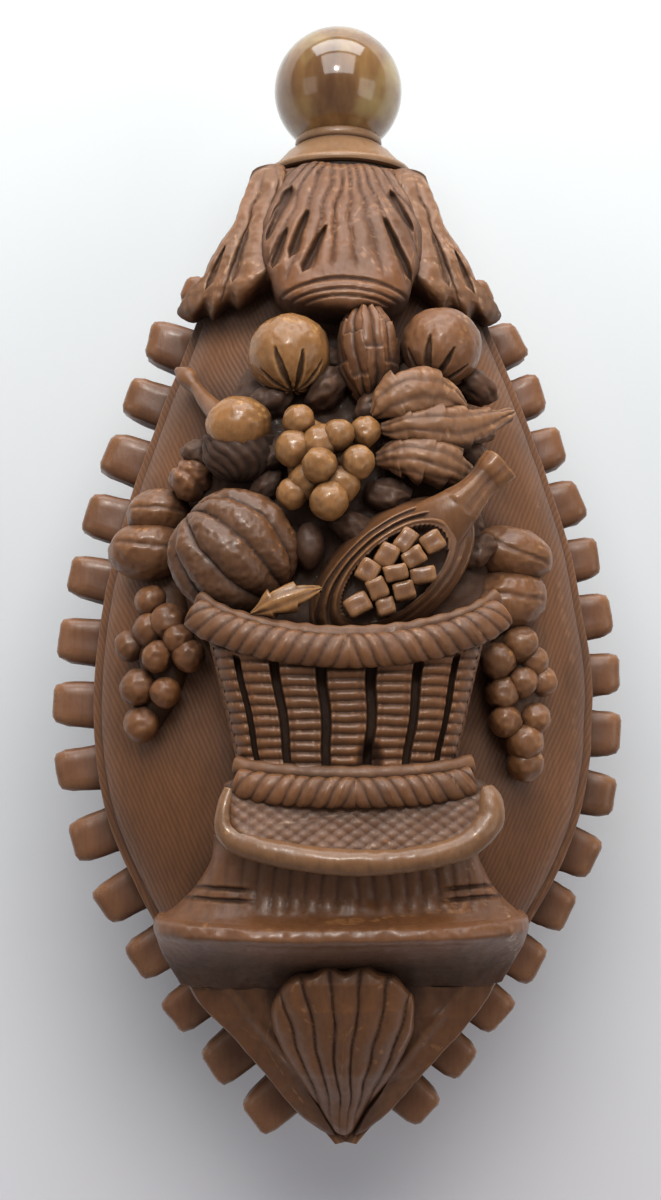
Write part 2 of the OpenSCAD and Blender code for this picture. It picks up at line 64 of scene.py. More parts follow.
def hermite(table, x):
    """Smooth curve through a table of (position, value), the same as the CAD source draws."""
    xs = np.array([p[0] for p in table], float)
    ys = np.array([p[1] for p in table], float)
    last = len(xs) - 1
    slopes = np.array([(ys[min(i + 1, last)] - ys[max(i - 1, 0)]) / (xs[min(i + 1, last)] - xs[max(i - 1, 0)])
                       for i in range(len(xs))])
    x = np.asarray(x, float)
    i = np.clip(np.searchsorted(xs, x) - 1, 0, last - 1)
    h = xs[i + 1] - xs[i]
    t = (x - xs[i]) / h
    return ((2*t**3 - 3*t**2 + 1) * ys[i] + (t**3 - 2*t**2 + t) * h * slopes[i]
            + (3*t**2 - 2*t**3) * ys[i + 1] + (t**3 - t**2) * h * slopes[i + 1])


lattice = np.random.default_rng(7).random(4096)


def value_noise(p):
    """Smooth noise from 0 to 1 at points p, by seeded lattice values."""
    cell = np.floor(p).astype(np.int64)
    f = p - cell
    f = f * f * (3 - 2 * f)
    out = np.zeros(len(p))
    for dx in (0, 1):
        for dy in (0, 1):
            for dz in (0, 1):
                key = ((cell[:, 0] + dx) * 73856093) ^ ((cell[:, 1] + dy) * 19349663) ^ ((cell[:, 2] + dz) * 83492791)
                weight = (np.where(dx, f[:, 0], 1 - f[:, 0]) * np.where(dy, f[:, 1], 1 - f[:, 1])
                          * np.where(dz, f[:, 2], 1 - f[:, 2]))
                out += weight * lattice[key & 4095]
    return out


def noise(points, size, octaves=2):
    """Noise from -1 to 1 with features of the given size in mm."""
    p = np.asarray(points, float) / size
    total, gain, scale = np.zeros(len(p)), 0.0, 1.0
    for i in range(octaves):
        total += scale * (2 * value_noise(p * 2**i + 17.3 * i) - 1)
        gain += scale
        scale *= 0.5
    return total / gain


def noise_at(x, y, z, size, octaves=2):
    """Noise over grids of coordinates, in the grids' own shape."""
    x, y, z = np.broadcast_arrays(x, y, z)
    return noise(np.stack([x, y, z], -1).reshape(-1, 3), size, octaves).reshape(x.shape)


def hand(x, y, size, amount, layer=0.0):
    """The unevenness of hand work, as a height."""
    return amount * noise_at(x, y, layer, size, 3)


def wobble(points, step, size, octaves=2):
    """A noise vector at each point."""
    return np.stack([noise(points + step * k, size, octaves) for k in range(3)], -1)


def bell(distance, width):
    return np.exp(-(distance / width) ** 2)


def circle(count):
    """Angles that go once round, without the last one."""
    return np.linspace(0, 2 * math.pi, count, endpoint=False)


# ---------------------------------------------------------------- meshes

def grid_faces(rows, columns, wrap=False, offset=0):
    """Quads of a grid of points, whose columns close into a ring when wrap is set."""
    i, j = np.meshgrid(np.arange(rows - 1), np.arange(columns if wrap else columns - 1), indexing="ij")
    k = (j + 1) % columns
    quads = np.stack([i * columns + j, i * columns + k, (i + 1) * columns + k, (i + 1) * columns + j], -1)
    return quads.reshape(-1, 4) + offset


def ring_faces(rows, columns):
    """Quads of a grid that closes into a ring both ways."""
    last = (rows - 1) * columns
    return [tuple(f) for f in grid_faces(rows, columns, wrap=True)] + [
        (last + j, last + (j + 1) % columns, (j + 1) % columns, j) for j in range(columns)]


class Shape:
    """Points, faces and the darkening at each point (dirt and painted shade), which grows piece by piece."""

    def __init__(self):
        self.points, self.faces, self.dirt, self.count = [], [], [], 0

    def add(self, points, faces, dirt=None):
        points = np.asarray(points, float).reshape(-1, 3)
        self.points.append(points)
        self.faces.extend([tuple(int(v) + self.count for v in f) for f in faces])
        self.dirt.append(np.zeros(len(points)) if dirt is None else np.asarray(dirt, float).ravel())
        self.count += len(points)
        return self

    def join(self, other):
        return self.add(np.vstack(other.points), other.faces, np.concatenate(other.dirt))

    def moved(self, change):
        """A copy with its points changed by a function."""
        copy = Shape()
        return copy.add(change(np.vstack(self.points)), self.faces, np.concatenate(self.dirt))


def tube(rings, dirt=None):
    """A closed solid through rings, given as an array of rows, columns and coordinates."""
    rings = np.asarray(rings, float)
    rows, columns = rings.shape[:2]
    faces = [tuple(f) for f in grid_faces(rows, columns, wrap=True)]
    near, far = rows * columns, rows * columns + 1
    faces += [(near, (j + 1) % columns, j) for j in range(columns)]
    base = (rows - 1) * columns
    faces += [(far, base + j, base + (j + 1) % columns) for j in range(columns)]
    points = np.vstack([rings.reshape(-1, 3), rings[0].mean(0), rings[-1].mean(0)])
    level = None
    if dirt is not None:
        dirt = np.asarray(dirt, float)
        level = np.concatenate([dirt.ravel(), [dirt[0].mean(), dirt[-1].mean()]])
    return Shape().add(points, faces, level)


def quad_sphere(n):
    """Unit directions and faces of a cube blown up to a sphere, n cells to each edge."""
    line = np.tan(np.linspace(-math.pi / 4, math.pi / 4, n + 1))
    a, b = np.meshgrid(line, line, indexing="ij")
    one = np.ones_like(a)
    sides = [(one, a, b), (-one, b, a), (b, one, a), (a, -one, b), (a, b, one), (b, a, -one)]
    points, faces = [], []
    for side in sides:
        faces.append(grid_faces(n + 1, n + 1, offset=len(points) * (n + 1) ** 2))
        p = np.stack(side, -1).reshape(-1, 3)
        points.append(p / np.linalg.norm(p, axis=1, keepdims=True))
    points, faces = np.vstack(points), np.vstack(faces)
    # Points on the cube's edges are shared, so that the skin is closed.
    first, inverse = np.unique(np.round(points, 6), axis=0, return_index=True, return_inverse=True)[1:]
    return points[first], inverse.ravel()[faces]


spheres = {}


def blob(center, radii, shape_it=None, turn=(0, 0, 0), n=28):
    """A rounded solid: an ellipsoid whose surface shape_it(directions) scales, with its darkening (dirt and painted
    shade).
    """
    if n not in spheres:
        spheres[n] = quad_sphere(n)
    way, faces = spheres[n]
    scale, dirt = (1.0, None) if shape_it is None else shape_it(way)
    points = way * np.asarray(radii, float) * np.reshape(scale, (-1, 1) if np.ndim(scale) else (1, 1))
    spin = np.array((Matrix.Rotation(turn[2], 3, "Z") @ Matrix.Rotation(turn[1], 3, "Y")
                     @ Matrix.Rotation(turn[0], 3, "X")))
    return Shape().add(points @ spin.T + np.asarray(center, float), faces, dirt)


def resample(points, count):
    """Evenly spaced points on a smooth curve through the given ones."""
    points = np.asarray(points, float)
    marks = np.concatenate([[0], np.cumsum(np.linalg.norm(np.diff(points[:, :3], axis=0), axis=1))])
    s = np.linspace(0, marks[-1], count)
    return np.stack([hermite(list(zip(marks, points[:, k])), s) for k in range(points.shape[1])], -1), s


def turned(angle):
    """Turns points, written as rows, by an angle about Z."""
    c, s = math.cos(angle), math.sin(angle)
    return np.array([[c, s, 0], [-s, c, 0], [0, 0, 1]])


def frames_along(path):
    """Side and up directions at each point of a path, with up as near +Z as it can be."""
    along = np.gradient(path, axis=0)
    along /= np.linalg.norm(along, axis=1, keepdims=True)
    side = np.cross(along, [0, 0, 1.0])
    side /= np.linalg.norm(side, axis=1, keepdims=True)
    return side, np.cross(side, along)


def sweep(stations, rows=60, columns=32, shape_it=None):
    """A solid with rounded sections through stations (x, y, z, half width, height, depth).
    shape_it(share of the length, angle, length) gives how far the skin moves out, and its darkening (dirt and painted
    shade)."""
    line, s = resample(stations, rows)
    side, up = frames_along(line[:, :3])
    angle = circle(columns)
    share, turn = np.meshgrid(s / s[-1], angle, indexing="ij")
    across = np.cos(turn) * line[:, 3:4]
    rise = np.where(np.sin(turn) > 0, line[:, 4:5], line[:, 5:6]) * np.sin(turn)
    dirt = np.zeros_like(turn)
    if shape_it is not None:
        out, dirt = shape_it(share, turn, s[-1])
        across = across + np.cos(turn) * out
        rise = rise + np.sin(turn) * out
    rings = line[:, None, :3] + across[..., None] * side[:, None, :] + rise[..., None] * up[:, None, :]
    return tube(rings[:, ::-1], dirt[:, ::-1])


def carve(shape, amount=0.05, size=1.6, chips=0.0):
    """Makes a skin look cut by hand: low waves, and flats left by the knife."""
    def change(points):
        points = points + amount * wobble(points, 31.7, size)
        return points + chips * wobble(points, -12.1, size * 0.3, 1) if chips else points
    return shape.moved(change)


def build(name, shape, material, body, replaces, sharp_deg=None):
    """Makes the piece, puts it on its body, and hides the CAD nodes it stands for."""
    points = np.vstack(shape.points)
    dirt = np.concatenate(shape.dirt)
    mesh = bpy.data.meshes.new(name)
    mesh.from_pydata(((points + [0, 0, JOINT_Z]) * MM).tolist(), [], shape.faces)
    mesh.validate()
    skin = bmesh.new()
    skin.from_mesh(mesh)
    bmesh.ops.recalc_face_normals(skin, faces=skin.faces)
    skin.to_mesh(mesh)
    skin.free()
    mesh.attributes.new("dirt", "FLOAT", "POINT").data.foreach_set("value", dirt.astype(np.float32))
    piece = bpy.data.objects.new(name, mesh)
    bpy.context.collection.objects.link(piece)
    mesh.materials.append(material)
    mesh.shade_smooth()
    if sharp_deg:
        mesh.set_sharp_from_angle(angle=math.radians(sharp_deg))
    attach(piece, body)
    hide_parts(*replaces)
    return piece


def put(name, shape, material, carving=0.0):
    """Builds a motif of the relief, cut by hand, in place of the CAD node of its name."""
    shape = carve(shape, carving, 1.3, carving * 0.35) if carving else shape
    build(name + "_carved", shape, material, "flask", [name])


# ---------------------------------------------------------------- materials

def nodes_of(material):
    material.use_nodes = True
    tree = material.node_tree
    tree.nodes.clear()
    return tree


def add(tree, kind, **settings):
    node = tree.nodes.new(kind)
    for key, value in settings.items():
        setattr(node, key, value)
    return node


def ramp(tree, source, stops):
    """A colour ramp through stops of (position, grey or colour)."""
    node = add(tree, "ShaderNodeValToRGB")
    points = node.color_ramp.elements
    while len(points) < len(stops):
        points.new(0.5)
    for point, (place, value) in zip(points, stops):
        point.position = place
        point.color = (value, value, value, 1) if np.isscalar(value) else (*value, 1)
    tree.links.new(source, node.inputs[0])
    return node.outputs["Color"]


def mixed(tree, factor, a, b, mode="MIX"):
    """Mixes two colours, each a socket or a colour, by a socket or a number."""
    node = add(tree, "ShaderNodeMix", data_type="RGBA", blend_type=mode, clamp_factor=True)
    for socket, value in ((node.inputs["Factor"], factor), (node.inputs[6], a), (node.inputs[7], b)):
        if isinstance(value, bpy.types.NodeSocket):
            tree.links.new(value, socket)
        else:
            socket.default_value = value if np.isscalar(value) else (*value, 1)
    return node.outputs[2]


def sums(tree, operation, a, b, clamp=False):
    """Arithmetic on two values, each a socket or a number."""
    node = add(tree, "ShaderNodeMath", operation=operation, use_clamp=clamp)
    for socket, value in ((node.inputs[0], a), (node.inputs[1], b)):
        if isinstance(value, bpy.types.NodeSocket):
            tree.links.new(value, socket)
        else:
            socket.default_value = value
    return node.outputs[0]


def times(tree, a, b):
    return sums(tree, "MULTIPLY", a, b)


def plus(tree, a, b, clamp=False):
    return sums(tree, "ADD", a, b, clamp)


def shader(tree, colour):
    """The surface shader with its colour, joined to the material's output."""
    skin = add(tree, "ShaderNodeBsdfPrincipled")
    tree.links.new(colour, skin.inputs["Base Color"])
    tree.links.new(skin.outputs[0], add(tree, "ShaderNodeOutputMaterial").inputs["Surface"])
    return skin


def relief(tree, skin, height, strength, depth_mm):
    """Fine bumps on a surface shader."""
    bump = add(tree, "ShaderNodeBump")
    bump.inputs["Strength"].default_value = strength
    bump.inputs["Distance"].default_value = depth_mm * MM
    tree.links.new(height, bump.inputs["Height"])
    tree.links.new(bump.outputs[0], skin.inputs["Normal"])


def stretched_noise(tree, coordinates, per_metre, detail=3.0, roughness=0.55):
    """Noise whose grain has a different size along each axis, given as cells to the metre."""
    mapping = add(tree, "ShaderNodeMapping")
    mapping.inputs["Scale"].default_value = per_metre
    tree.links.new(coordinates, mapping.inputs["Vector"])
    texture = add(tree, "ShaderNodeTexNoise")
    texture.inputs["Scale"].default_value = 1.0
    texture.inputs["Detail"].default_value = detail
    texture.inputs["Roughness"].default_value = roughness
    tree.links.new(mapping.outputs[0], texture.inputs["Vector"])
    return texture.outputs["Fac"]


def tool_marks(tree, coordinates, pitch, slant):
    """Fine parallel cuts that lean inward on both halves of the ground, as a height from 0 to 1."""
    parts = add(tree, "ShaderNodeSeparateXYZ")
    tree.links.new(coordinates, parts.inputs[0])
    wander = stretched_noise(tree, coordinates, (260, 120, 260), 2.0)
    across = sums(tree, "ABSOLUTE", parts.outputs[0], 0.0)
    phase = sums(tree, "SUBTRACT", times(tree, across, math.cos(slant) / pitch),
                 times(tree, parts.outputs[1], math.sin(slant) / pitch))
    phase = plus(tree, phase, times(tree, wander, 2.2))
    return sums(tree, "PINGPONG", phase, 0.5)


def nut(name, base, light, dark=(0.020, 0.009, 0.005), rough=0.42, wear=0.6, dirt=0.85, marks=0.0, shade=0.75,
        grain=0.35, bump=0.35):
    """Old carved nut: fibre streaks, dark dirt and painted shade in the cuts and hollows, and high spots rubbed light
    and glossy.
    """
    material = bpy.data.materials.new(name)
    tree = nodes_of(material)
    link = tree.links.new
    place = add(tree, "ShaderNodeTexCoord").outputs["Object"]
    fibres = stretched_noise(tree, place, (2600, 420, 1800), 4.0, 0.6)
    patches = stretched_noise(tree, place, (170, 130, 170), 3.0, 0.5)
    specks = stretched_noise(tree, place, (3800, 2600, 3800), 2.0, 0.6)
    blotches = stretched_noise(tree, place, (620, 520, 620), 4.0, 0.65)

    colour = mixed(tree, ramp(tree, patches, [(0.30, 0.0), (0.70, 1.0)]), base, [0.62 * c for c in base])
    streak = ramp(tree, fibres, [(0.32, 0.55), (0.50, 1.0), (0.72, 1.22)])
    colour = mixed(tree, grain, colour, mixed(tree, 1.0, colour, streak, "MULTIPLY"))

    bend = add(tree, "ShaderNodeNewGeometry").outputs["Pointiness"]
    high = ramp(tree, bend, [(0.495, 0.0), (0.58, 1.0)])
    rubbed = times(tree, high, ramp(tree, blotches, [(0.30, 0.25), (0.62, 1.0)]))
    colour = mixed(tree, times(tree, rubbed, wear), colour, light)

    # Painted shade with dirt: the mesh's darkening attribute, concave spots and ambient occlusion darken the colour in
    # hollows and between pieces.
    cut = add(tree, "ShaderNodeAttribute", attribute_name="dirt").outputs["Fac"]
    low = ramp(tree, bend, [(0.40, 1.0), (0.485, 0.0)])
    corners = add(tree, "ShaderNodeAmbientOcclusion", samples=8, only_local=False)
    corners.inputs["Distance"].default_value = 3.2 * MM
    ao_shade = ramp(tree, corners.outputs["AO"], [(0.34, shade), (0.84, 0.0)])
    grime_and_shade = plus(tree, times(tree, low, 0.55), plus(tree, cut, ao_shade), clamp=True)
    grime_and_shade = times(tree, grime_and_shade, ramp(tree, blotches, [(0.25, 1.0), (0.75, 0.72)]))
    colour = mixed(tree, times(tree, grime_and_shade, dirt), colour, dark)

    height = plus(tree, times(tree, fibres, 0.5), times(tree, specks, 0.25))
    if marks:
        cuts = tool_marks(tree, place, 0.34 * MM, math.radians(24))
        height = plus(tree, height, times(tree, cuts, marks))
        colour = mixed(tree, 0.55 * marks, colour,
                       mixed(tree, 1.0, colour, ramp(tree, cuts, [(0.0, 0.45), (0.35, 1.25)]), "MULTIPLY"))
    skin = shader(tree, colour)
    relief(tree, skin, height, bump, 0.12)
    gloss = plus(tree, times(tree, grime_and_shade, 0.42), rough)
    gloss = sums(tree, "SUBTRACT", gloss, times(tree, rubbed, 0.20), clamp=True)
    gloss = plus(tree, gloss, times(tree, sums(tree, "SUBTRACT", specks, 0.5), 0.25), clamp=True)
    link(gloss, skin.inputs["Roughness"])
    skin.inputs["Specular IOR Level"].default_value = 0.37
    skin.inputs["Coat Weight"].default_value = 0.035
    skin.inputs["Coat Roughness"].default_value = 0.16
    return material


def stone(name):
    """Polished banded stone, amber to brown, with a paler greenish-yellow cloud on one side."""
    material = bpy.data.materials.new(name)
    tree = nodes_of(material)
    link = tree.links.new
    place = add(tree, "ShaderNodeTexCoord").outputs["Object"]
    swirl = stretched_noise(tree, place, (160, 210, 160), 3.0, 0.5)
    bands = stretched_noise(tree, place, (520, 110, 380), 3.0, 0.55)
    colour = ramp(tree, bands, [(0.28, (0.12, 0.050, 0.016)),
                                (0.50, (0.23, 0.112, 0.036)), (0.72, (0.34, 0.19, 0.065))])
    pale = ramp(tree, swirl, [(0.50, 0.0), (0.66, 0.75)])
    colour = mixed(tree, pale, colour, (0.42, 0.31, 0.12))
    skin = shader(tree, colour)
    link(ramp(tree, swirl, [(0.3, 0.10), (0.7, 0.17)]), skin.inputs["Roughness"])
    skin.inputs["Subsurface Weight"].default_value = 0.25
    skin.inputs["Subsurface Radius"].default_value = (0.004, 0.002, 0.001)
    skin.inputs["Subsurface Scale"].default_value = 1.0
    skin.inputs["Coat Weight"].default_value = 0.6
    skin.inputs["Coat Roughness"].default_value = 0.05
    return material


BROWN = (0.205, 0.078, 0.027)
RUBBED = (0.44, 0.205, 0.078)
ground_nut = nut("nut_ground", (0.210, 0.082, 0.029), (0.32, 0.145, 0.060), wear=0.35, marks=0.9, rough=0.46,
                 shade=0.85)
carved_nut = nut("nut_carved", BROWN, RUBBED, shade=0.90, wear=0.55)
# A lighter copy of the nut for the leaves: painted light on the collar leaves' steep sides and on the relief leaves.
leaf_lit_nut = nut("nut_leaf_lit", (0.27, 0.118, 0.050), (0.52, 0.27, 0.125), shade=0.85, wear=0.65)
dark_nut = nut("nut_dark", (0.085, 0.034, 0.014), (0.20, 0.09, 0.036), rough=0.55, wear=0.4)
tooth_nut = nut("nut_teeth", (0.205, 0.080, 0.034), (0.40, 0.20, 0.095), rough=0.40, wear=0.5, dirt=0.75)
turned_nut = nut("nut_turned", (0.36, 0.190, 0.092), (0.52, 0.31, 0.16), rough=0.34, wear=0.4, dirt=0.7, grain=0.25)
fruit_nut = nut("nut_fruit", (0.225, 0.092, 0.036), (0.48, 0.24, 0.10), rough=0.34, wear=0.6, shade=0.85)
orange_nut = nut("nut_orange", (0.36, 0.160, 0.052), (0.58, 0.31, 0.12), rough=0.28, wear=0.7, shade=0.85)
rim_nut = nut("nut_rim", (0.23, 0.105, 0.045), (0.46, 0.25, 0.12), rough=0.34, wear=0.6, dirt=0.8)
slab_nut = nut("nut_slab", (0.22, 0.088, 0.036), (0.38, 0.19, 0.09), rough=0.38, wear=0.5)
leather = nut("old_leather", (0.035, 0.018, 0.012), (0.07, 0.04, 0.025), rough=0.6, wear=0.3, grain=0.5)
melon_nut = nut("nut_melon", (0.150, 0.062, 0.025), (0.36, 0.170, 0.074), rough=0.36, wear=0.6, shade=0.85)
# A darker copy of the nut: painted shade in the gaps behind the fruit.
bed_shade_nut = nut("nut_bed_shade", (0.120, 0.047, 0.018), (0.26, 0.115, 0.045), rough=0.5, wear=0.5, shade=0.9)
amber = stone("banded_stone")


# ---------------------------------------------------------------- camera, lights and floor

def make_camera():
    """A close camera over the middle of the flask, leaning a little toward the tip."""
    distance, lean, tilt, spin = 164.0, math.radians(0.8), math.radians(5.5), math.radians(0.35)
    target = Vector((-0.9, -3.45, 0))
    away = Vector((-math.sin(lean), -math.sin(tilt), 0))
    away.z = math.sqrt(1 - away.x**2 - away.y**2)
    eye = target + distance * away
    right = (-away).cross(Vector((0, 1, 0))).normalized()
    up = right.cross(-away)
    right, up = right * math.cos(spin) - up * math.sin(spin), up * math.cos(spin) + right * math.sin(spin)
    data = bpy.data.cameras.new("camera")
    data.lens, data.sensor_width = 60.0, 36.0
    data.clip_start, data.clip_end = 0.005, 10.0
    camera = bpy.data.objects.new("camera", data)
    turn = Matrix((right, up, away)).transposed()
    camera.matrix_world = Matrix.Translation((eye + Vector((0, 0, JOINT_Z))) * MM) @ turn.to_4x4()
    bpy.context.collection.objects.link(camera)
    bpy.context.scene.camera = camera


def lamp(name, at, aim, size, power, colour, size_y=None):
    """A soft lamp; places and sizes in metres."""
    data = bpy.data.lights.new(name, "AREA")
    data.energy, data.color, data.size = power, colour, size
    if size_y:
        data.shape, data.size_y = "RECTANGLE", size_y
    light = bpy.data.objects.new(name, data)
    light.location = at
    light.rotation_euler = (Vector(aim) - Vector(at)).to_track_quat("-Z", "Y").to_euler()
    bpy.context.collection.objects.link(light)
    return light


def paper(name):
    """Pale matt paper with a faint tooth."""
    material = bpy.data.materials.new(name)
    tree = nodes_of(material)
    place = add(tree, "ShaderNodeTexCoord").outputs["Object"]
    tooth = stretched_noise(tree, place, (900, 900, 900), 3.0)
    cloud = stretched_noise(tree, place, (14, 14, 14), 2.0)
    colour = mixed(tree, ramp(tree, cloud, [(0.35, 0.0), (0.65, 1.0)]), (0.96, 0.97, 0.975), (1.0, 1.0, 1.0))
    # Painted shade: the sheet is darker toward the tip of the flask, as the light falls off there.
    along = add(tree, "ShaderNodeSeparateXYZ")
    tree.links.new(place, along.inputs[0])
    shade = ramp(tree, plus(tree, times(tree, along.outputs[1], 5.0), 0.5),
                 [(0.2, (0.76, 0.735, 0.755)), (0.42, (0.73, 0.74, 0.75)), (0.75, (0.88, 0.91, 0.91))])
    colour = mixed(tree, 1.0, colour, shade, "MULTIPLY")
    skin = shader(tree, colour)
    skin.inputs["Roughness"].default_value = 0.85
    relief(tree, skin, tooth, 0.08, 0.1)
    return material


def make_stage():
    bpy.ops.mesh.primitive_plane_add(size=3.0, location=(0, 0, -0.0002))
    floor = bpy.context.object
    floor.name = "floor"
    floor.data.materials.append(paper("paper"))
    world = bpy.data.worlds.new("world")
    bpy.context.scene.world = world
    world.use_nodes = True
    world.node_tree.nodes["Background"].inputs["Color"].default_value = (0.84, 0.86, 0.92, 1)
    world.node_tree.nodes["Background"].inputs["Strength"].default_value = 0.30
    lamp("window", (0.0, 0.24, 0.33), (0, 0.01, 0.01), 0.36, 1.15, (1.0, 0.99, 0.97), 0.26)
    lamp("sky", (0, 0.42, 0.15), (0, 0.02, 0.01), 0.50, 1.7, (0.95, 0.98, 1.0), 0.20)
    lamp("side", (-0.42, 0.02, 0.34), (0, 0, 0.01), 0.25, 0.15, (0.95, 0.97, 1.0))
    lamp("fill", (0.36, -0.02, 0.30), (0, 0, 0.01), 0.25, 0.30, (1.0, 0.97, 0.94))
    glint = lamp("glint", (-0.02, 0.17, 0.34), (0, 0.01, 0.01), 0.025, 0.50, (1.0, 0.95, 0.88))
    glint.visible_diffuse = False
    bpy.context.scene.view_settings.view_transform = "Standard"


make_camera()
make_stage()


# ---------------------------------------------------------------- flask

TIP_Y, NECK_Y, BELLY_W = -46.5, 31.1, 19.5
FRONT_H, BACK_H, HALF_BAND = 12.0, 11.5, 1.8
RIM = [(0, 0.05), (0.10, 0.39), (0.206, 0.705), (0.322, 0.935), (0.438, 1), (0.567, 0.945), (0.696, 0.80),
       (0.825, 0.61), (0.928, 0.45), (1, 0.336)]
DOME = [(0, 0.24), (0.10, 0.47), (0.206, 0.75), (0.335, 0.95), (0.46, 1), (0.593, 1), (0.72, 0.93), (0.85, 0.75),
        (1, 0.525)]


def share(y):
    return (np.asarray(y, float) - TIP_Y) / (NECK_Y - TIP_Y)


def rim_w(y):
    return BELLY_W * hermite(RIM, share(y))


def dome(y, height=FRONT_H):
    return height * hermite(DOME, share(y))


def wall_h(y, height=FRONT_H):
    return HALF_BAND + 0.22 * (dome(y, height) - HALF_BAND)


def half_shell(height, detail):
    """One half of the nut as rings along Y; detail(x, y, edge) gives how far the skin moves and its darkening (dirt and
    painted shade).
    """
    rows, columns = 420, 220
    y = np.linspace(TIP_Y, NECK_Y, rows)[:, None]
    angle = np.linspace(math.pi, 0, columns)[None, :]
    w, top, side = rim_w(y), dome(y, height), wall_h(y, height)
    x = w * np.cos(angle)
    z = side + (top - side) * np.sin(angle)
    points = np.stack([x, y + 0 * x, z], -1)
    steps = np.linalg.norm(np.diff(points, axis=1), axis=2)
    run = np.concatenate([np.zeros((rows, 1)), np.cumsum(steps, axis=1)], axis=1)
    edge = np.minimum(run, run[:, -1:] - run)
    normal = np.cross(np.gradient(points, axis=1), np.gradient(points, axis=0))
    normal /= np.linalg.norm(normal, axis=2, keepdims=True)
    normal *= np.sign(normal[..., 2:3].sum())
    out, dirt = detail(x, y + 0 * x, edge)
    points = points + normal * out[..., None]
    points[..., 2] = np.maximum(points[..., 2], HALF_BAND + 0.05)
    lower = 16
    sweep_x = np.linspace(1, -1, lower)[None, :] * w
    floor = np.stack([sweep_x, y + 0 * sweep_x, np.full_like(sweep_x, HALF_BAND)], -1)
    rings = np.concatenate([points, floor], axis=1)
    # The flat face on the joint plane is darkened with painted shade.
    dirts = np.concatenate([dirt, np.full((rows, lower), 0.4)], axis=1)
    return tube(rings, dirts)


def mirrored(shape):
    """The shape turned over the joint plane, with its faces turned back outward."""
    copy = Shape()
    points = np.vstack(shape.points) * [1, 1, -1]
    return copy.add(points, [tuple(reversed(f)) for f in shape.faces], np.concatenate(shape.dirt))


def rim_fillet(edge):
    """A thin raised edge round the ground, and the cut inside it."""
    out = 0.34 * bell(edge - 0.75, 0.34) - 0.14 * bell(edge - 1.5, 0.26)
    return out, 0.55 * bell(edge - 1.5, 0.3)


RECESS_TOP, RECESS_TIP = -31.5, -44.0


def front_detail(x, y, edge):
    out, dirt = rim_fillet(edge)
    out = out + hand(x, y, 5.0, 0.16)
    # The ground sinks behind the scallop, between the frame strips, and painted shade darkens it there.
    half = np.interp(y, [RECESS_TIP, RECESS_TOP], [0.5, 9.5])
    sunk = smoothstep(0, 1.2, half - np.abs(x)) * smoothstep(RECESS_TIP, RECESS_TIP + 2, y) * smoothstep(-24, -26, y)
    out = out - 1.3 * sunk
    dirt = dirt + 0.35 * sunk * smoothstep(-42, -34, y)
    # Painted shade darkens the ground round the fruit, and a painted shadow lies under the collar, darker under the
    # left leaf.
    fruit = np.hypot(x / 13.5, (y - 3) / 15.5)
    under = smoothstep(15.5, 18.0, y) * smoothstep(24, 20, y) * smoothstep(3, 5, np.abs(x)) * (0.45 + 0.45 * (x < 0))
    dirt = dirt + 0.30 * smoothstep(1.06, 0.86, fruit) + under
    return out, np.clip(dirt, 0, 1)


def back_detail(x, y, edge):
    out, dirt = rim_fillet(edge)
    return out + hand(x, y, 5.0, 0.14, 40), dirt


def hollow_out(piece, cutters):
    """Cuts the inside out of a piece with other solids."""
    for cutter in cutters:
        change = piece.modifiers.new("hollow", "BOOLEAN")
        change.operation, change.object, change.solver = "DIFFERENCE", cutter, "EXACT"
    view = bpy.context.evaluated_depsgraph_get()
    mesh = bpy.data.meshes.new_from_object(piece.evaluated_get(view))
    piece.modifiers.clear()
    piece.data = mesh


def helper(shape):
    """A solid used only to cut with, and deleted afterward."""
    mesh = bpy.data.meshes.new("cutter")
    mesh.from_pydata(((np.vstack(shape.points) + [0, 0, JOINT_Z]) * MM).tolist(), [], shape.faces)
    cutter = bpy.data.objects.new("cutter", mesh)
    bpy.context.collection.objects.link(cutter)
    return cutter


BUSH_R, BUSH_Y, CAVITY_R, CAVITY_Y = 4.8, 18.0, (12, 26, 7.3), -5.0


def lathe(profile, segments, shape_it=None):
    """A turned solid about the neck's axis, through points of (y, radius)."""
    profile = np.array(profile, float)
    angle = circle(segments)
    y, turn = np.meshgrid(profile[:, 0], angle, indexing="ij")
    radius = np.repeat(profile[:, 1:2], segments, axis=1)
    if shape_it is not None:
        radius = radius + shape_it(y, turn)
    return tube(np.stack([radius * np.cos(turn), y, -radius * np.sin(turn)], -1)[:, ::-1])


def make_shells():
    cutters = [helper(blob((0, CAVITY_Y, 0), CAVITY_R, n=16)),
               helper(lathe([(BUSH_Y, BUSH_R + 0.03), (NECK_Y + 1, BUSH_R + 0.03)], 64))]
    front = build("front_shell_carved", half_shell(FRONT_H, front_detail), ground_nut, "flask", ["front_shell"],
                  sharp_deg=50)
    back = build("back_shell_carved", mirrored(half_shell(BACK_H, back_detail)), ground_nut, "flask",
                 ["back_shell"], sharp_deg=50)
    band = build("toothed_band_carved", band_shape(), tooth_nut, "flask", ["toothed_band"],
                 sharp_deg=60)
    for piece in (front, back, band):
        hollow_out(piece, cutters)
    for cutter in cutters:
        bpy.data.objects.remove(cutter)


def rounded_box(half, radius, n=7):
    """A box with rounded edges about the origin."""
    way, faces = quad_sphere(n)
    half = np.asarray(half, float)
    skin = way / np.abs(way).max(axis=1, keepdims=True) * half
    core = np.clip(skin, -(half - radius), half - radius)
    bulge = skin - core
    bulge /= np.maximum(np.linalg.norm(bulge, axis=1, keepdims=True), 1e-9)
    return core + radius * bulge, faces


TOOTH_W, TOOTH_ROOT, FIRST_TOOTH = 3.7, 1.5, 5.2


def tooth_places(pitch):
    """Y and lean of each tooth along the rim."""
    y = np.linspace(TIP_Y, NECK_Y, 800)
    w = rim_w(y)
    run = np.concatenate([[0], np.cumsum(np.hypot(np.diff(y), np.diff(w)))])
    places = []
    for i in range(31):
        at = float(np.interp(FIRST_TOOTH + i * pitch, run, y))
        if at < 23.5:
            places.append((at, math.atan2(float(rim_w(at + 0.5) - rim_w(at - 0.5)), 1.0)))
    return places


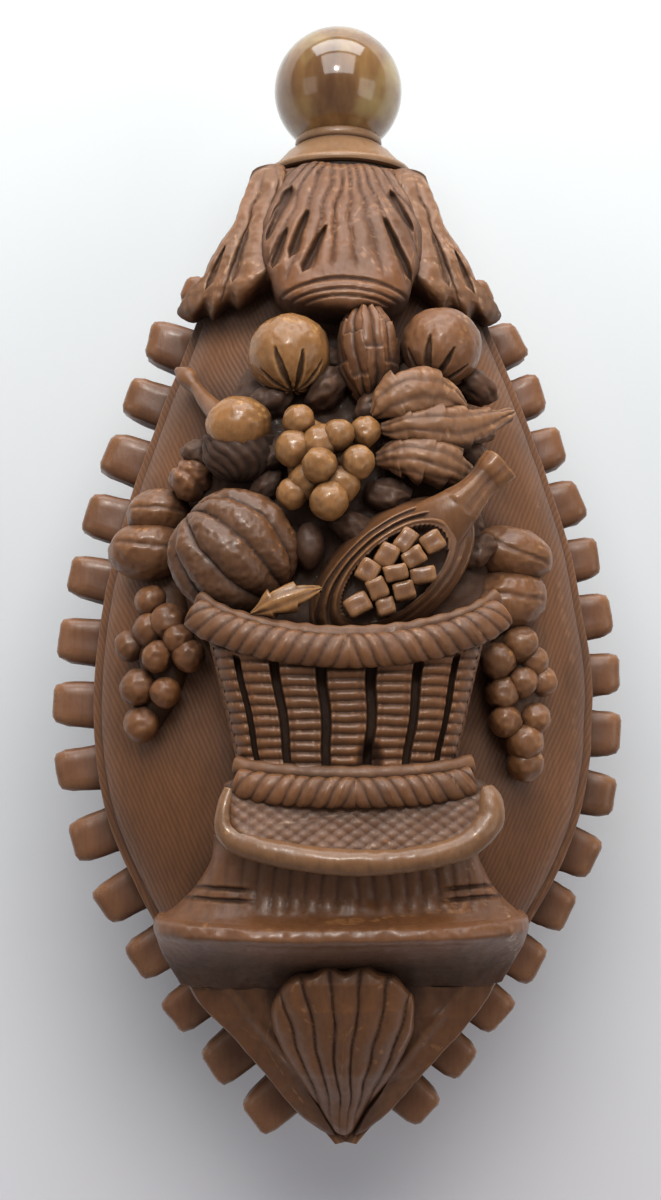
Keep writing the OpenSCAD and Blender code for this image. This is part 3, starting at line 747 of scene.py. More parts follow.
def band_shape():
    """The flat band between the halves, with its teeth."""
    draw = np.random.default_rng(11)
    rows = 150
    y = np.linspace(TIP_Y, NECK_Y, rows)
    section = np.array([(-1, -1), (-1, -0.5), (-1, 0), (-1, 0.5), (-1, 1), (-0.5, 1), (0, 1), (0.5, 1), (1, 1),
                        (1, 0.5), (1, 0), (1, -0.5), (1, -1), (0.5, -1), (0, -1), (-0.5, -1)])
    rings = np.stack([section[None, :, 0] * (rim_w(y)[:, None] - 0.05), y[:, None] + 0 * section[None, :, 0],
                      section[None, :, 1] * HALF_BAND + 0 * y[:, None]], -1)
    # The band is darkened all over with painted shade, as it lies back between the shells.
    band = tube(rings, np.full(rings.shape[:2], 0.35))
    for side, length, pitch in ((1, 3.1, 4.65), (-1, 3.9, 5.0)):
        for at, lean in tooth_places(pitch):
            size = 1.0 if at < 17 else 0.72
            out, wide = length * size, TOOTH_W * size * draw.uniform(0.94, 1.03)
            half = ((out + TOOTH_ROOT) / 2, wide / 2, HALF_BAND * draw.uniform(0.95, 1.0))
            points, faces = rounded_box(half, 0.72)
            # Each tooth narrows a little outward, and its end is cut by hand.
            reach = points[:, 0] / half[0]
            points[:, 1] *= 1 - 0.08 * reach
            points[:, 0] += 0.10 * draw.normal() * points[:, 1] / half[1] * (reach > 0)
            points = points + 0.11 * wobble(points + at, 9.7, 1.4)
            points[:, 0] += half[0] - TOOTH_ROOT
            turn = -lean + draw.normal() * 0.02
            c, s = math.cos(turn), math.sin(turn)
            x = points[:, 0] * c - points[:, 1] * s + float(rim_w(at))
            yy = points[:, 0] * s + points[:, 1] * c + at
            skin = np.column_stack([side * x, yy, points[:, 2]])
            # Painted shade darkens each tooth toward its root, against the shells.
            dirt = 0.7 * smoothstep(0.9, 0.0, (points[:, 0]))
            band.add(skin, faces if side > 0 else faces[:, ::-1], dirt)
    return band


# ---------------------------------------------------------------- neck, stopper and finial

CORE_R, THREAD_H, PITCH = 3.30, 0.55, 1.8
SEAL_Y, PLUG_Y, BALL_Y, BALL_R, FLANGE_R = 31.8, 24.5, 39.45, 5.35, 6.1


def thread_height(y, turn, low, high):
    """Height of a right-hand thread over the core at a height and angle about the neck."""
    step = ((y - BUSH_Y) / PITCH - turn / (2 * math.pi) + 0.5) % 1.0 - 0.5
    crest = np.clip((0.34 - np.abs(step)) / 0.20, 0, 1)
    return crest * smoothstep(low, low + 0.8, y) * smoothstep(high, high - 0.8, y)


def make_stopper():
    plug = [(PLUG_Y, 0.05), (PLUG_Y, CORE_R - 0.5), (PLUG_Y + 0.12, CORE_R - 0.2), (PLUG_Y + 0.4, CORE_R)]
    plug += [(float(y), CORE_R) for y in np.linspace(PLUG_Y + 0.5, SEAL_Y - 0.02, 90)]
    head = [(SEAL_Y + rise, radius) for rise, radius in (
        (0, CORE_R), (0, FLANGE_R - 0.9), (0, FLANGE_R - 0.2), (0.05, FLANGE_R - 0.05), (0.18, FLANGE_R),
        (0.34, FLANGE_R + 0.02), (0.5, FLANGE_R - 0.05), (0.68, FLANGE_R - 0.22), (0.85, FLANGE_R - 0.60),
        (1.2, FLANGE_R - 0.92), (1.6, FLANGE_R - 1.3), (2.1, FLANGE_R - 1.75), (2.45, FLANGE_R - 2.2),
        (2.68, 3.62), (2.74, 3.46), (2.80, 3.44), (2.88, 3.56), (3.1, 3.62), (3.4, 3.58), (3.62, 3.44),
        (3.70, 3.30), (3.5, 3.16), (3.0, 2.70), (2.6, 1.9), (2.3, 1.22), (2.3, 0.05))]

    def threaded(y, turn):
        return THREAD_H * thread_height(y, turn, PLUG_Y + 0.7, NECK_Y - 0.6) * (y < SEAL_Y - 0.1)

    shape = lathe(plug + head, 128, shape_it=threaded)
    build("stopper_turned", carve(shape, 0.02, 3.0), turned_nut, "stopper", ["stopper"], sharp_deg=50)
    washer = [(NECK_Y + 0.02, CORE_R + 0.65), (NECK_Y + 0.02, FLANGE_R - 0.7), (NECK_Y + 0.15, FLANGE_R - 0.52),
              (SEAL_Y - 0.15, FLANGE_R - 0.5), (SEAL_Y - 0.02, FLANGE_R - 0.7), (SEAL_Y - 0.02, CORE_R + 0.65)]
    angle = circle(96)
    ring = np.array(washer)
    y, turn = np.meshgrid(ring[:, 0], angle, indexing="ij")
    radius = ring[:, 1:2] + 0.05 * noise_at(6 * np.cos(turn), y, 6 * np.sin(turn), 1.5)
    points = np.stack([radius * np.cos(turn), y, -radius * np.sin(turn)], -1)
    build("seal_washer_pressed", Shape().add(points, ring_faces(*y.shape)), leather, "washer", ["seal_washer"],
          sharp_deg=50)
    ball = blob((0, BALL_Y, 0), (BALL_R,) * 3, n=48)
    peg = helper(lathe([(BALL_Y - 7, 1.2), (BALL_Y - 2.6, 1.2)], 32))
    finial = build("ball_finial_polished", ball, amber, "stopper", ["ball_finial"])
    hollow_out(finial, [peg])
    bpy.data.objects.remove(peg)
    for name, material in (("neck_bush", turned_nut), ("ball_peg", turned_nut)):
        for slot in bpy.data.objects[name].material_slots:
            slot.material = material


make_shells()
make_stopper()


# ---------------------------------------------------------------- carved relief

def pad(centre, outline, top, base, rings=40, round_off=0.6, edge=0.75):
    """A carved piece of relief with a star-shaped outline: top(x, y, share) gives its height and darkening (dirt and
    painted shade).
    """
    outline = np.asarray(outline, float)
    inner = rings // 2
    steps = np.concatenate([np.linspace(0.03, edge, inner), np.linspace(edge, 1, rings - inner + 1)[1:]])
    xy = np.asarray(centre, float) + steps[:, None, None] * (outline - centre)
    x, y, s = xy[..., 0], xy[..., 1], np.repeat(steps[:, None], len(outline), axis=1)
    z, dirt = top(x, y, s)
    z = z - round_off * (1 - np.sqrt(np.maximum(1 - np.clip((s - edge) / (1 - edge), 0, 1) ** 2, 0)))
    rows = [np.stack([x, y, z], -1)]
    rim, low = rows[0][-1], np.array([*centre, base], float)
    for share, drop in ((1.0, 0.5), (0.99, 1.0)):
        ring = low + (rim - low) * share
        ring[:, 2] = rim[:, 2] + (base - rim[:, 2]) * drop
        rows.append(ring[None])
    ring = low + (rim - low) * 0.5
    ring[:, 2] = base
    rows.append(ring[None])
    # Painted shade on the sides and underside of the piece.
    wall_shade = np.stack([np.full(len(outline), v) for v in (0.55, 0.9, 0.9)])
    return tube(np.concatenate(rows), np.concatenate([dirt, wall_shade]))


def oval(centre, radii, turn=0.0, count=120, wave=None):
    """Points round an oval, whose radius wave(angle) scales."""
    a = circle(count)
    k = 1.0 if wave is None else wave(a)
    x, y = radii[0] * np.cos(a) * k, radii[1] * np.sin(a) * k
    c, s = math.cos(turn), math.sin(turn)
    return np.column_stack([centre[0] + x * c - y * s, centre[1] + x * s + y * c])


def closed_curve(points, count=160):
    """A smooth closed outline through a few points."""
    p = np.asarray(points, float)
    n = len(p)
    t = np.linspace(0, n, count, endpoint=False)
    i = np.floor(t).astype(int) % n
    f = (t % 1)[:, None]
    a, b, c, d = p[i - 1], p[i], p[(i + 1) % n], p[(i + 2) % n]
    return 0.5 * (2*b + (c - a)*f + (2*a - 5*b + 4*c - d)*f**2 + (3*b - a - 3*c + d)*f**3)


def fan(x, y, apex, count, spread, sharp=0.8):
    """Ridges that spread from an apex; count of them within spread radians either side of straight."""
    angle = np.arctan2(x - apex[0], np.abs(y - apex[1]))
    return ridge(angle / (2 * spread) * count + 0.5 * (count % 2 == 0), sharp), angle


# ---------------------------------------------------------------- collar round the neck

def gouge(x, y, start, end, width):
    """A teardrop cut from start, where it is widest, to end."""
    a, b = np.array(start, float), np.array(end, float)
    axis = b - a
    along = ((x - a[0]) * axis[0] + (y - a[1]) * axis[1]) / (axis @ axis)
    off = ((x - a[0]) * axis[1] - (y - a[1]) * axis[0]) / math.hypot(*axis)
    wide = width * np.sqrt(np.clip(1 - along, 0, 1)) * smoothstep(-0.12, 0.10, along) + 0.02
    return bell(off, wide) * smoothstep(-0.15, 0.0, along) * smoothstep(1.05, 0.85, along)


def palmette_top(lip_y, rise):
    """Height and darkening (dirt and painted shade) of the palmette, which ends in a lip at lip_y; rise lifts it at the
    lip.
    """
    line = [(lip_y - 1.6, 12.9 + rise), (lip_y, 12.7 + rise), (20.6, 11.9 + rise), (23.2, 10.7 + rise),
            (25.8, 9.4 + rise), (28.8, 8.2 + rise * 0.5), (31.0, 7.5)]

    def top(x, y, s):
        half = np.interp(y, [18, 21, 24, 27, 31], [5.2, 6.2, 6.6, 6.2, 4.8])
        z = hermite(line, np.clip(y, lip_y - 1.6, 31.0)) - 2.1 * np.clip(np.abs(x) / half, 0, 1.2) ** 2.4
        warp = 0.55 * noise_at(x, y, 0, 3.2)
        ribs, angle = fan(x + warp, y, (0.2, 37.0), 9, 0.47, 0.6)
        ribs = ribs * (0.75 + 0.25 * noise_at(angle * 12, 0, 3, 1.0))
        arc = y - (lip_y + 1.0 - 0.050 * x**2)
        body = smoothstep(0.9, 2.4, arc)
        z = z + 0.46 * (ribs - 0.6) * body + hand(x, y, 1.5, 0.16)
        # Leaf cuts on both sides, and a folded lip of fine bands along the lower edge.
        cuts = sum(gouge(x, y, *c) for c in (((-4.0, 28.4), (-5.9, 23.6), 0.50), ((-3.9, 22.2), (-2.6, 26.2), 0.34),
                                             ((-2.9, 20.8), (-1.2, 24.6), 0.36), ((-5.3, 21.4), (-4.2, 24.6), 0.34),
                                             ((4.0, 28.0), (5.6, 24.4), 0.36), ((5.2, 20.4), (3.2, 25.5), 0.30)))
        lip = smoothstep(0.55, 0.2, arc) * smoothstep(5.6, 4.2, np.abs(x))
        bands = bell(arc + 0.35, 0.11) + bell(arc + 0.95, 0.13) + bell(arc - 0.62, 0.16)
        z = z + 0.45 * lip - 0.85 * np.clip(cuts, 0, 1) - 0.26 * bands * smoothstep(6.0, 5.0, np.abs(x))
        # Grooves and cuts are darkened, and painted shade darkens the edge where it drops to the ground.
        dirt = 0.5 * bands + 0.55 * (1 - ribs) ** 2 * body + 0.8 * np.clip(cuts, 0, 1) + 0.4 * smoothstep(0.9, 1.0, s)
        return z, np.clip(dirt, 0, 1)
    return top


PALMETTE = [(0, 31.1), (2.2, 31.1), (4.2, 30.6), (5.2, 29.0), (5.7, 27.0), (6.3, 25.0), (6.3, 23.0), (6.0, 21.3),
            (5.5, 20.1), (5.0, 18.7), (3.7, 17.7), (2.0, 17.3), (0, 17.2)]


def make_collar():
    half = PALMETTE + [(-x, y + 0.25) for x, y in PALMETTE[-2:0:-1]]
    front = pad((0, 24.5), closed_curve(half, 300), palmette_top(18.2, 2.0), 3.6, rings=100, round_off=0.9, edge=0.88)
    put("front_palmette", carve(front, 0.06, 1.2, 0.02), carved_nut)
    back = pad((0, 24.7), closed_curve([(x, 31 + (y - 31) * 0.93) for x, y in half], 200), palmette_top(18.9, -0.9),
               3.2, rings=60, round_off=0.9, edge=0.86)
    put("back_palmette", mirrored(back), carved_nut)
    edge = [(4.4, 31.1), (6.7, 31.1), (7.6, 28.8), (8.3, 26.0), (9.5, 24.2), (10.4, 22.3), (10.9, 21.0), (12.1, 19.9),
            (12.9, 18.9), (11.7, 18.2), (10.6, 18.7), (9.9, 18.1), (8.7, 19.0), (7.8, 18.6), (6.4, 19.6), (4.9, 21.0),
            (4.6, 25.0), (4.3, 28.4)]

    def leaf_top(x, y, s):
        z = np.interp(y, [17.5, 20, 22.5, 24.8, 28.1, 31], [11.2, 11.4, 10.8, 9.6, 7.9, 6.4])
        z = z - 4.6 * np.clip((x - np.interp(y, [18, 31], [5.0, 3.2])) / 8.0, 0, 1.3) ** 1.5
        warp = 0.5 * noise_at(x, y, 4, 2.6)
        folds = fan(x - 4.5 + warp, y, (0.0, 36.0), 7, 0.62, 0.5)[0]
        z = z + 0.60 * (folds - 0.5) * smoothstep(30.5, 27.5, y) + hand(x, y, 1.4, 0.2)
        cuts = gouge(x, y, (8.3, 20.6), (7.2, 25.0), 0.34) + gouge(x, y, (10.3, 20.2), (9.0, 23.6), 0.28)
        cuts = 0.6 * np.clip(cuts, 0, 1)
        # The folds' valleys and the cuts are darkened, and painted shade darkens the edge.
        dirt = 0.6 * (1 - folds) ** 2 + 0.9 * cuts + 0.35 * smoothstep(0.88, 1, s)
        return z - 0.8 * cuts, np.clip(dirt, 0, 1)

    leaf = pad((7.9, 23.6), closed_curve(edge, 260), leaf_top, 4.6, rings=80, round_off=1.5, edge=0.78)
    leaf = carve(leaf, 0.12, 1.3, 0.03)
    put("right_collar_leaf", leaf, leaf_lit_nut)
    other = leaf.moved(lambda p: np.column_stack([-p[:, 0] * 1.02, p[:, 1] + 0.4, p[:, 2]]))
    put("left_collar_leaf", other, leaf_lit_nut)


# ---------------------------------------------------------------- fruit

def fruit_skin(way, amount, size=0.5):
    """The uneven radius of a fruit in each direction."""
    return 1 + amount * noise(way, size, 3)


def apple_form(way):
    """A round apple whose lower end is slit into the points of a calyx."""
    round_it = np.arctan2(way[:, 0], way[:, 2]) / (2 * math.pi) * 9
    lane = np.floor(round_it)
    reach = -0.18 - 0.34 * (np.sin(lane * 2.3) * 0.5 + 0.5)
    off = np.abs(round_it - lane - 0.5)
    wide = 0.22 * np.clip((reach - way[:, 1]) / 0.6, 0, 1)
    cut = smoothstep(wide + 0.05, wide - 0.05, off) * smoothstep(0.0, 0.05, reach - way[:, 1])
    return fruit_skin(way, 0.045) - 0.13 * cut, 0.75 * cut


def artichoke_form(way):
    """Long uneven leaves, cut from top to bottom."""
    round_it = np.arctan2(way[:, 0], way[:, 2]) + 0.22 * noise(way, 0.8, 2)
    leaves = ridge(round_it * 1.45 + 0.25 + 0.30 * way[:, 1], 0.45)
    lane = np.floor(round_it * 1.45 + 0.25 + 0.30 * way[:, 1])
    lap = (way[:, 1] * 1.15 + 0.37 * lane) % 1.0
    out = 0.92 + 0.14 * leaves + 0.08 * lap + 0.05 * noise(way, 0.35, 2)
    dirt = 1.0 * (1 - leaves) ** 1.6 + 0.6 * smoothstep(0.16, 0.0, lap)
    return out, np.clip(dirt, 0, 1)


def melon_form(way):
    """Ribs that run from upper left to lower right, flat-cut and meeting at both ends."""
    axis = np.array([0.74, -0.66, -0.12])
    axis /= np.linalg.norm(axis)
    side = np.cross([0, 0, 1.0], axis)
    side /= np.linalg.norm(side)
    front = np.cross(axis, side)
    along = way @ axis
    turn = np.arctan2(way @ side, way @ front)
    ribs = ridge(turn / math.pi * 5.0 + 0.18 + 0.10 * along + 0.05 * noise(way, 0.7, 2), 0.62)
    ends = np.sqrt(np.maximum(1 - along**2, 0.0))
    out = 0.92 + 0.14 * ribs * np.clip(ends * 1.5, 0, 1) + 0.028 * noise(way, 0.22, 3)
    dirt = 0.85 * (1 - ribs) ** 2.2 + 0.3 * smoothstep(0.85, 1, np.abs(along))
    return out, np.clip(dirt, 0, 1)


def berry(places, radius, seed):
    """A bunch of grapes with a dark tip on each."""
    draw = np.random.default_rng(seed)
    bunch = Shape()
    for place in places:
        size = radius * draw.uniform(0.86, 1.08)
        spot = draw.normal(size=3)

        def form(way):
            tip = smoothstep(0.93, 0.985, way @ (spot / np.linalg.norm(spot)))
            return fruit_skin(way, 0.085, 0.7) - 0.05 * tip, 0.3 * tip
        bunch.join(blob(place, (size, size * 1.04, size), form, n=16))
    return bunch


def leaf_blade(stations, lobes, veins, rows=110, columns=64, rough=0.10):
    """A blade with a saw edge and veins that run along it."""
    def cut(share, turn, length):
        side = np.cos(turn)
        edge = np.abs(side) ** 3
        saw = 1 - (share * lobes + 0.15 * (side > 0)) % 1.0
        vein = ridge(side * veins + 0.22 * share, 0.7)
        out = -0.50 * edge * saw + 0.17 * (vein - 0.6) * (np.sin(turn) > 0) * (1 - edge)
        out = out + rough * noise_at(share * length, side * 2, np.sin(turn), 1.1)
        dirt = 0.75 * (1 - vein) ** 1.6 * (np.sin(turn) > -0.1) + 0.45 * (saw < 0.14) * edge
        return out, np.clip(dirt, 0, 1)
    return sweep(stations, rows, columns, cut)


def make_fruit():
    # The bed behind the fruit is darkened all over with painted shade, by its darker material and its even darkening.
    bed = sweep([(1.4, 15.8, 10.2, 5.0, 0.8, 1.2), (1.2, 13.6, 10.6, 7.2, 1.4, 1.6), (0.3, 8.8, 11.4, 9.2, 2.2, 2.0),
                 (-0.3, 2.3, 11.8, 10.6, 2.8, 2.5), (-0.1, -4.3, 11.9, 11.6, 3.2, 2.8),
                 (0.1, -8.7, 11.9, 9.6, 3.0, 2.8)], 140, 160,
                lambda s, a, n: (0.55 * noise_at(s * n, np.cos(a) * 10, np.sin(a) * 3, 2.0, 3),
                                 np.full_like(s, 0.45)))
    # Small leaves and nuts, roughly cut, fill the gaps between the fruit, darkened with painted shade.
    draw = np.random.default_rng(21)
    for x, y, z, r in ((2.4, 9.7, 14.6, 1.5), (-5.6, 10.4, 13.4, 1.6), (4.4, 6.6, 14.6, 1.5), (3.2, 2.9, 14.9, 1.6),
                       (-1.4, 11.2, 13.8, 1.6), (10.0, 11.8, 12.4, 1.6), (-5.8, 3.8, 14.2, 1.3), (-5.2, 6.2, 14.4, 1.4),
                       (9.2, 6.5, 13.6, 1.5), (5.2, 12.4, 13.2, 1.4), (-1.2, 13.6, 12.6, 1.5), (-10.9, 6.7, 11.8, 1.4),
                       (0.6, 0.4, 15.4, 1.5), (9.8, -1.2, 13.6, 1.5)):
        bed.join(blob((x, y, z), np.array([1.25, 0.85, 1.0]) * r,
                      lambda w: (0.95 + 0.20 * noise(w + draw.uniform(0, 9), 0.55, 2), 0.3 + 0 * w[:, 0]),
                      turn=(0, 0, draw.uniform(-1, 1)), n=18))
    put("fruit_bed", bed, bed_shade_nut, 0.15)
    put("left_apple", blob((-4.1, 13.9, 14.0), (3.15, 3.1, 3.1), apple_form, turn=(-0.30, 0, 0.1), n=44),
        orange_nut, 0.08)
    put("right_apple", blob((7.4, 14.5, 13.6), (3.1, 3.1, 3.1), apple_form, turn=(-0.30, 0, -0.3), n=44),
        fruit_nut, 0.08)
    put("artichoke", blob((1.9, 14.0, 13.8), (2.2, 3.55, 2.6), artichoke_form, turn=(0, 0, 0.06), n=48),
        carved_nut, 0.05)

    put("upper_leaf", leaf_blade([(2.2, 8.8, 16.0, 0.6, 0.6, 1.2), (3.4, 9.8, 16.5, 1.8, 1.0, 2.6),
                                  (5.3, 10.5, 16.4, 2.1, 1.1, 2.8), (7.4, 10.3, 15.6, 1.7, 0.9, 2.6),
                                  (9.0, 9.7, 14.8, 0.5, 0.5, 2.0)], 3, 1.5), leaf_lit_nut, 0.14)
    put("middle_leaf", leaf_blade([(2.8, 7.7, 16.0, 0.8, 0.6, 1.6), (5.2, 7.9, 16.6, 1.5, 0.9, 2.8),
                                   (8.2, 7.9, 15.8, 1.9, 0.9, 3.2), (10.8, 8.6, 14.2, 1.3, 0.8, 3.0),
                                   (12.9, 9.6, 12.8, 0.4, 0.4, 2.6)], 5, 1.5), leaf_lit_nut, 0.14)
    put("lower_leaf", leaf_blade([(2.5, 5.5, 15.6, 0.9, 0.7, 1.6), (5.0, 5.7, 16.3, 1.9, 1.1, 2.8),
                                  (7.5, 5.1, 16.1, 1.9, 1.0, 3.0), (9.9, 4.0, 15.2, 0.6, 0.6, 2.6)], 4, 2.0),
        leaf_lit_nut, 0.14)

    nut_at = np.array([-8.0, 7.5, 14.6])
    put("acorn_nut", blob(nut_at + [0.1, 0.8, 0.5], (2.5, 2.2, 2.3), lambda w: (fruit_skin(w, 0.05), None), n=32),
        orange_nut, 0.08)

    def cup_form(way):
        round_it = np.arctan2(way[:, 0], way[:, 2])
        hatch = ridge(round_it * 2.2 + way[:, 1] * 2 + 0.3 * noise(way, 0.5), 1)
        lip = bell(way[:, 1] - 0.42, 0.12)
        # Painted shade: the whole cup is darkened, more in the hatching's cuts.
        return 0.92 + 0.06 * hatch + 0.07 * lip + 0.05 * noise(way, 0.4, 2), 0.35 + 0.4 * (1 - hatch)
    # The cup's dark material paints the shade it lies in below the acorn.
    put("acorn_cup", blob(nut_at + [0.1, -1.1, -0.2], (2.9, 2.4, 2.5), cup_form, n=36), dark_nut,
        0.05)
    put("acorn_stem", sweep([(-12.9, 13.9, 8.2, 0.3, 0.4, 0.9), (-12.3, 13.4, 8.9, 0.75, 0.55, 1.2),
                             (-11.4, 12.2, 9.8, 0.5, 0.6, 1.4), (-10.4, 10.7, 11.3, 0.7, 0.7, 2.0),
                             (-9.1, 9.2, 13.4, 0.9, 0.8, 2.6)], 40, 20), carved_nut, 0.05)

    put("centre_grapes", berry([(-3.4, 8.3, 17.0), (-0.5, 7.1, 17.6), (-3.8, 6.2, 17.1), (-1.9, 4.7, 18.5),
                                (0.9, 5.0, 18.0), (-3.9, 2.8, 17.0), (-1.2, 2.1, 18.4), (1.5, 7.5, 16.6),
                                (-1.9, 6.5, 17.2), (-0.3, 3.4, 17.6), (-2.8, 3.8, 17.0), (-2.6, 7.2, 15.7),
                                (-0.3, 5.8, 15.9), (-3.0, 4.8, 15.6), (-1.2, 3.3, 15.8)], 1.38, 3),
        orange_nut, 0.09)
    put("melon", blob((-8.3, -1.4, 15.6), (4.75, 4.65, 3.8), melon_form, n=84), melon_nut, 0.12)
    put("small_nut", blob((-2.7, -0.9, 16.0), (1.15, 1.8, 1.4), lambda w: (fruit_skin(w, 0.08, 0.7), None), n=20),
        dark_nut, 0.04)


def make_pod():
    """A husk with three edges round a window full of seeds, with its neck and the petal beside it."""
    at, turn = np.array([3.5, -2.8]), math.radians(40)
    c, s = math.cos(turn), math.sin(turn)

    def husk_top(x, y, share):
        u, v = (x - at[0]) * c + (y - at[1]) * s, -(x - at[0]) * s + (y - at[1]) * c
        bulge = 20.1 - 4.4 * np.clip(np.hypot(u / 6.9, v / 4.1), 0, 1) ** 2.3
        # The window is lens-shaped and lies toward the lower edge.
        lens = np.hypot((u + 0.3) / 4.7, (v + 0.45) / 2.35)
        wall = smoothstep(0.98, 1.06, lens)
        z = np.where(lens < 1.0, 18.1 - 0.4 * lens, bulge)
        z = z * (1 - wall) + bulge * wall
        rings = bell(lens - 1.13, 0.055) + 0.8 * bell(lens - 1.34, 0.06) + 0.6 * bell(lens - 1.56, 0.06)
        cuts = bell(lens - 1.235, 0.045) + 0.8 * bell(lens - 1.45, 0.045)
        upper = smoothstep(-0.8, 0.6, v)
        z = z + 0.42 * rings * (0.5 + 0.5 * upper) - 0.36 * cuts * (0.35 + 0.65 * upper) + hand(x, y, 1.4, 0.08)
        # Painted shade darkens the sunk window between the seeds; the ring cuts are darkened too.
        dirt = smoothstep(1.05, 0.95, lens) + 0.75 * cuts * (0.35 + 0.65 * upper)
        return z, np.clip(dirt, 0, 1)
    put("pod_husk", pad(at, oval(at, (7.1, 4.35), turn, 300, lambda a: 1 + 0.03 * np.cos(2 * a)), husk_top, 13.4,
                        rings=110, round_off=1.0, edge=0.9), fruit_nut, 0.03)
    seeds, draw = Shape(), np.random.default_rng(5)
    for i in range(-2, 3):
        for j in (-1, 0, 1):
            if abs(i) + abs(j) < 3:
                points, faces = rounded_box(np.array([0.88, 0.72, 0.8]) * draw.uniform(0.82, 1.12, 3), 0.22, 6)
                points = points + 0.10 * wobble(points + 3 * i + j, 5, 0.8)
                spin = draw.uniform(-0.5, 0.5)
                points = points @ turned(spin)
                u, v = 1.78 * i + 0.35 * j - 0.3, 1.38 * j - 0.45
                place = np.array([at[0] + u * c - v * s, at[1] + u * s + v * c, 18.85 - 0.05 * i * i - 0.1 * j * j])
                seeds.add(points @ turned(turn) + place, faces)
    put("pod_seeds", seeds, fruit_nut, 0.05)

    def neck_skin(s, a, n):
        """Eight soft edges on the stalk, and a cut under its knob."""
        edges = np.sign(np.sin(4 * a)) * np.abs(np.sin(4 * a)) ** 3
        return 0.16 * edges * (s > 0.5), 0.5 * bell(s - 0.80, 0.05)
    neck = [(5.4, -0.9, 15.6, 2.2, 1.4, 1.6), (6.6, 0.2, 16.6, 2.3, 1.5, 1.6), (8.0, 1.4, 17.2, 1.8, 1.3, 1.6),
            (9.4, 2.8, 17.2, 1.25, 1.1, 1.4), (10.4, 3.9, 17.0, 1.15, 0.95, 1.2), (10.9, 4.4, 17.0, 1.35, 1.1, 1.3),
            (11.5, 5.0, 16.9, 1.45, 1.15, 1.3)]
    put("pod_neck", sweep(neck, 60, 40, neck_skin), fruit_nut, 0.05)
    petal = [(-6.9, -6.3, 19.4, 0.25, 0.3, 0.8), (-5.3, -5.6, 19.8, 1.15, 0.6, 3.0),
             (-3.5, -5.0, 19.8, 1.05, 0.6, 3.0), (-1.9, -4.5, 19.2, 0.2, 0.3, 1.4)]
    put("rim_petal", leaf_blade(petal, 3, 1.5, 60, 40, 0.05), orange_nut, 0.04)


def hanging(places, stalk, seed):
    """A bunch of grapes down the side, on a dark stalk."""
    return berry(places, 1.36, seed).join(sweep(stalk, 30, 20, lambda s, a, n: (0 * s, 0 * s + 0.8)))


def make_side_fruit():
    def bud_form(way):
        return 1 + 0.12 * noise(way, 0.5, 2) - 0.12 * bell(way[:, 0] + way[:, 1], 0.2), None
    bud = blob((-11.7, 4.7, 11.8), (1.7, 1.6, 1.9), bud_form, n=24)
    put("left_bud", bud, carved_nut, 0.12)

    def peach_form(way):
        crease = bell(way[:, 0] * 0.3 + way[:, 1] - 0.1, 0.10) * smoothstep(0.2, 0.8, way[:, 2])
        return fruit_skin(way, 0.03) - 0.05 * crease, 0.35 * crease
    left = blob((-14.3, 2.4, 9.9), (2.5, 1.9, 2.3), peach_form, turn=(0, 0, 0.14), n=32)
    left.join(blob((-15.0, -0.5, 9.9), (3.2, 2.3, 2.6), peach_form, turn=(0, 0, 0.08), n=36))
    put("left_peach", left, fruit_nut, 0.12)
    right = blob((12.6, -1.1, 11.4), (3.4, 2.1, 2.6), peach_form, turn=(0, 0, -0.2), n=36)
    right.join(blob((12.3, -4.6, 11.2), (3.2, 2.5, 2.8), peach_form, turn=(0, 0, 0.1), n=36))
    put("right_peach", right, fruit_nut, 0.12)

    put("left_grapes", hanging(
        [(-14.8, -4.5, 10.6), (-13.4, -6.2, 11.6), (-16.4, -7.8, 10.0), (-14.2, -8.8, 11.9), (-11.8, -8.8, 12.4),
         (-15.7, -11.1, 10.8), (-13.6, -11.5, 11.8), (-15.5, -13.9, 10.6), (-12.6, -7.5, 12.2), (-14.9, -6.7, 11.0)],
        [(-13.4, -3.6, 9.8, 1.1, 1.0, 1.2), (-13.7, -6.9, 10.2, 2.0, 1.3, 1.6), (-13.9, -10.3, 10.0, 1.7, 1.3, 1.6),
         (-14.9, -13.9, 9.2, 0.9, 1.2, 1.3)], 8), carved_nut, 0.12)
    put("right_grapes", hanging(
        [(13.3, -8.0, 11.9), (11.6, -9.3, 12.2), (13.4, -10.9, 12.0), (15.1, -10.8, 10.9), (12.1, -13.8, 12.0),
         (14.4, -13.7, 11.4), (13.7, -17.0, 10.9), (13.6, -15.4, 11.5), (11.9, -11.7, 12.0), (14.4, -9.3, 11.2)],
        [(12.8, -6.9, 10.6, 1.3, 1.0, 1.2), (13.0, -9.9, 10.6, 2.0, 1.3, 1.6), (13.0, -13.5, 10.4, 1.7, 1.3, 1.6),
         (13.5, -17.0, 9.9, 0.9, 1.2, 1.4)], 9), fruit_nut, 0.12)


# ---------------------------------------------------------------- basket, tray and plinth

def arch(start, end, bow, count=16):
    """Points on a curve from start to end whose middle stands bow away from the straight line."""
    t = np.linspace(0, 1, count)[:, None]
    return np.array(start) * (1 - t) + np.array(end) * t + np.array(bow) * (4 * t * (1 - t)) ** 0.75


def twisted(start, end, bow, radius, pitch, deep=0.22):
    """A flat carved cord whose strands lean one way on the left half and the other way on the right."""
    path = arch(start, end, bow, 24)

    def strands(share, turn, length):
        lean = np.where(share < 0.5, -1.0, 1.0)
        wander = 0.22 * noise_at(share * length, 0, 0, 1.7)
        phase = share * length / pitch + wander + lean * (turn / math.pi - 0.5) * 1.15
        rope = ridge(phase, 0.5) * (0.8 + 0.2 * noise_at(np.floor(phase), 0, 0, 0.7))
        fade = smoothstep(-0.5, 0.1, np.sin(turn))
        return deep * (rope - 0.5) * fade, np.clip(1.0 * (1 - rope) ** 1.3, 0, 1)
    stations = [(*p, radius * 1.05, radius * 0.62, radius) for p in path]
    return sweep(stations, 300, 44, strands)


BASKET_TOP_Y, BASKET_FOOT_Y, BASKET_LOW = -7.3, -17.6, 13.4
BASKET_HALF, BASKET_FRONT = (10.15, 7.9), (20.9, 19.3)      # at the top and at the foot
STAVES, RIB_PITCH = 4.3, 0.78


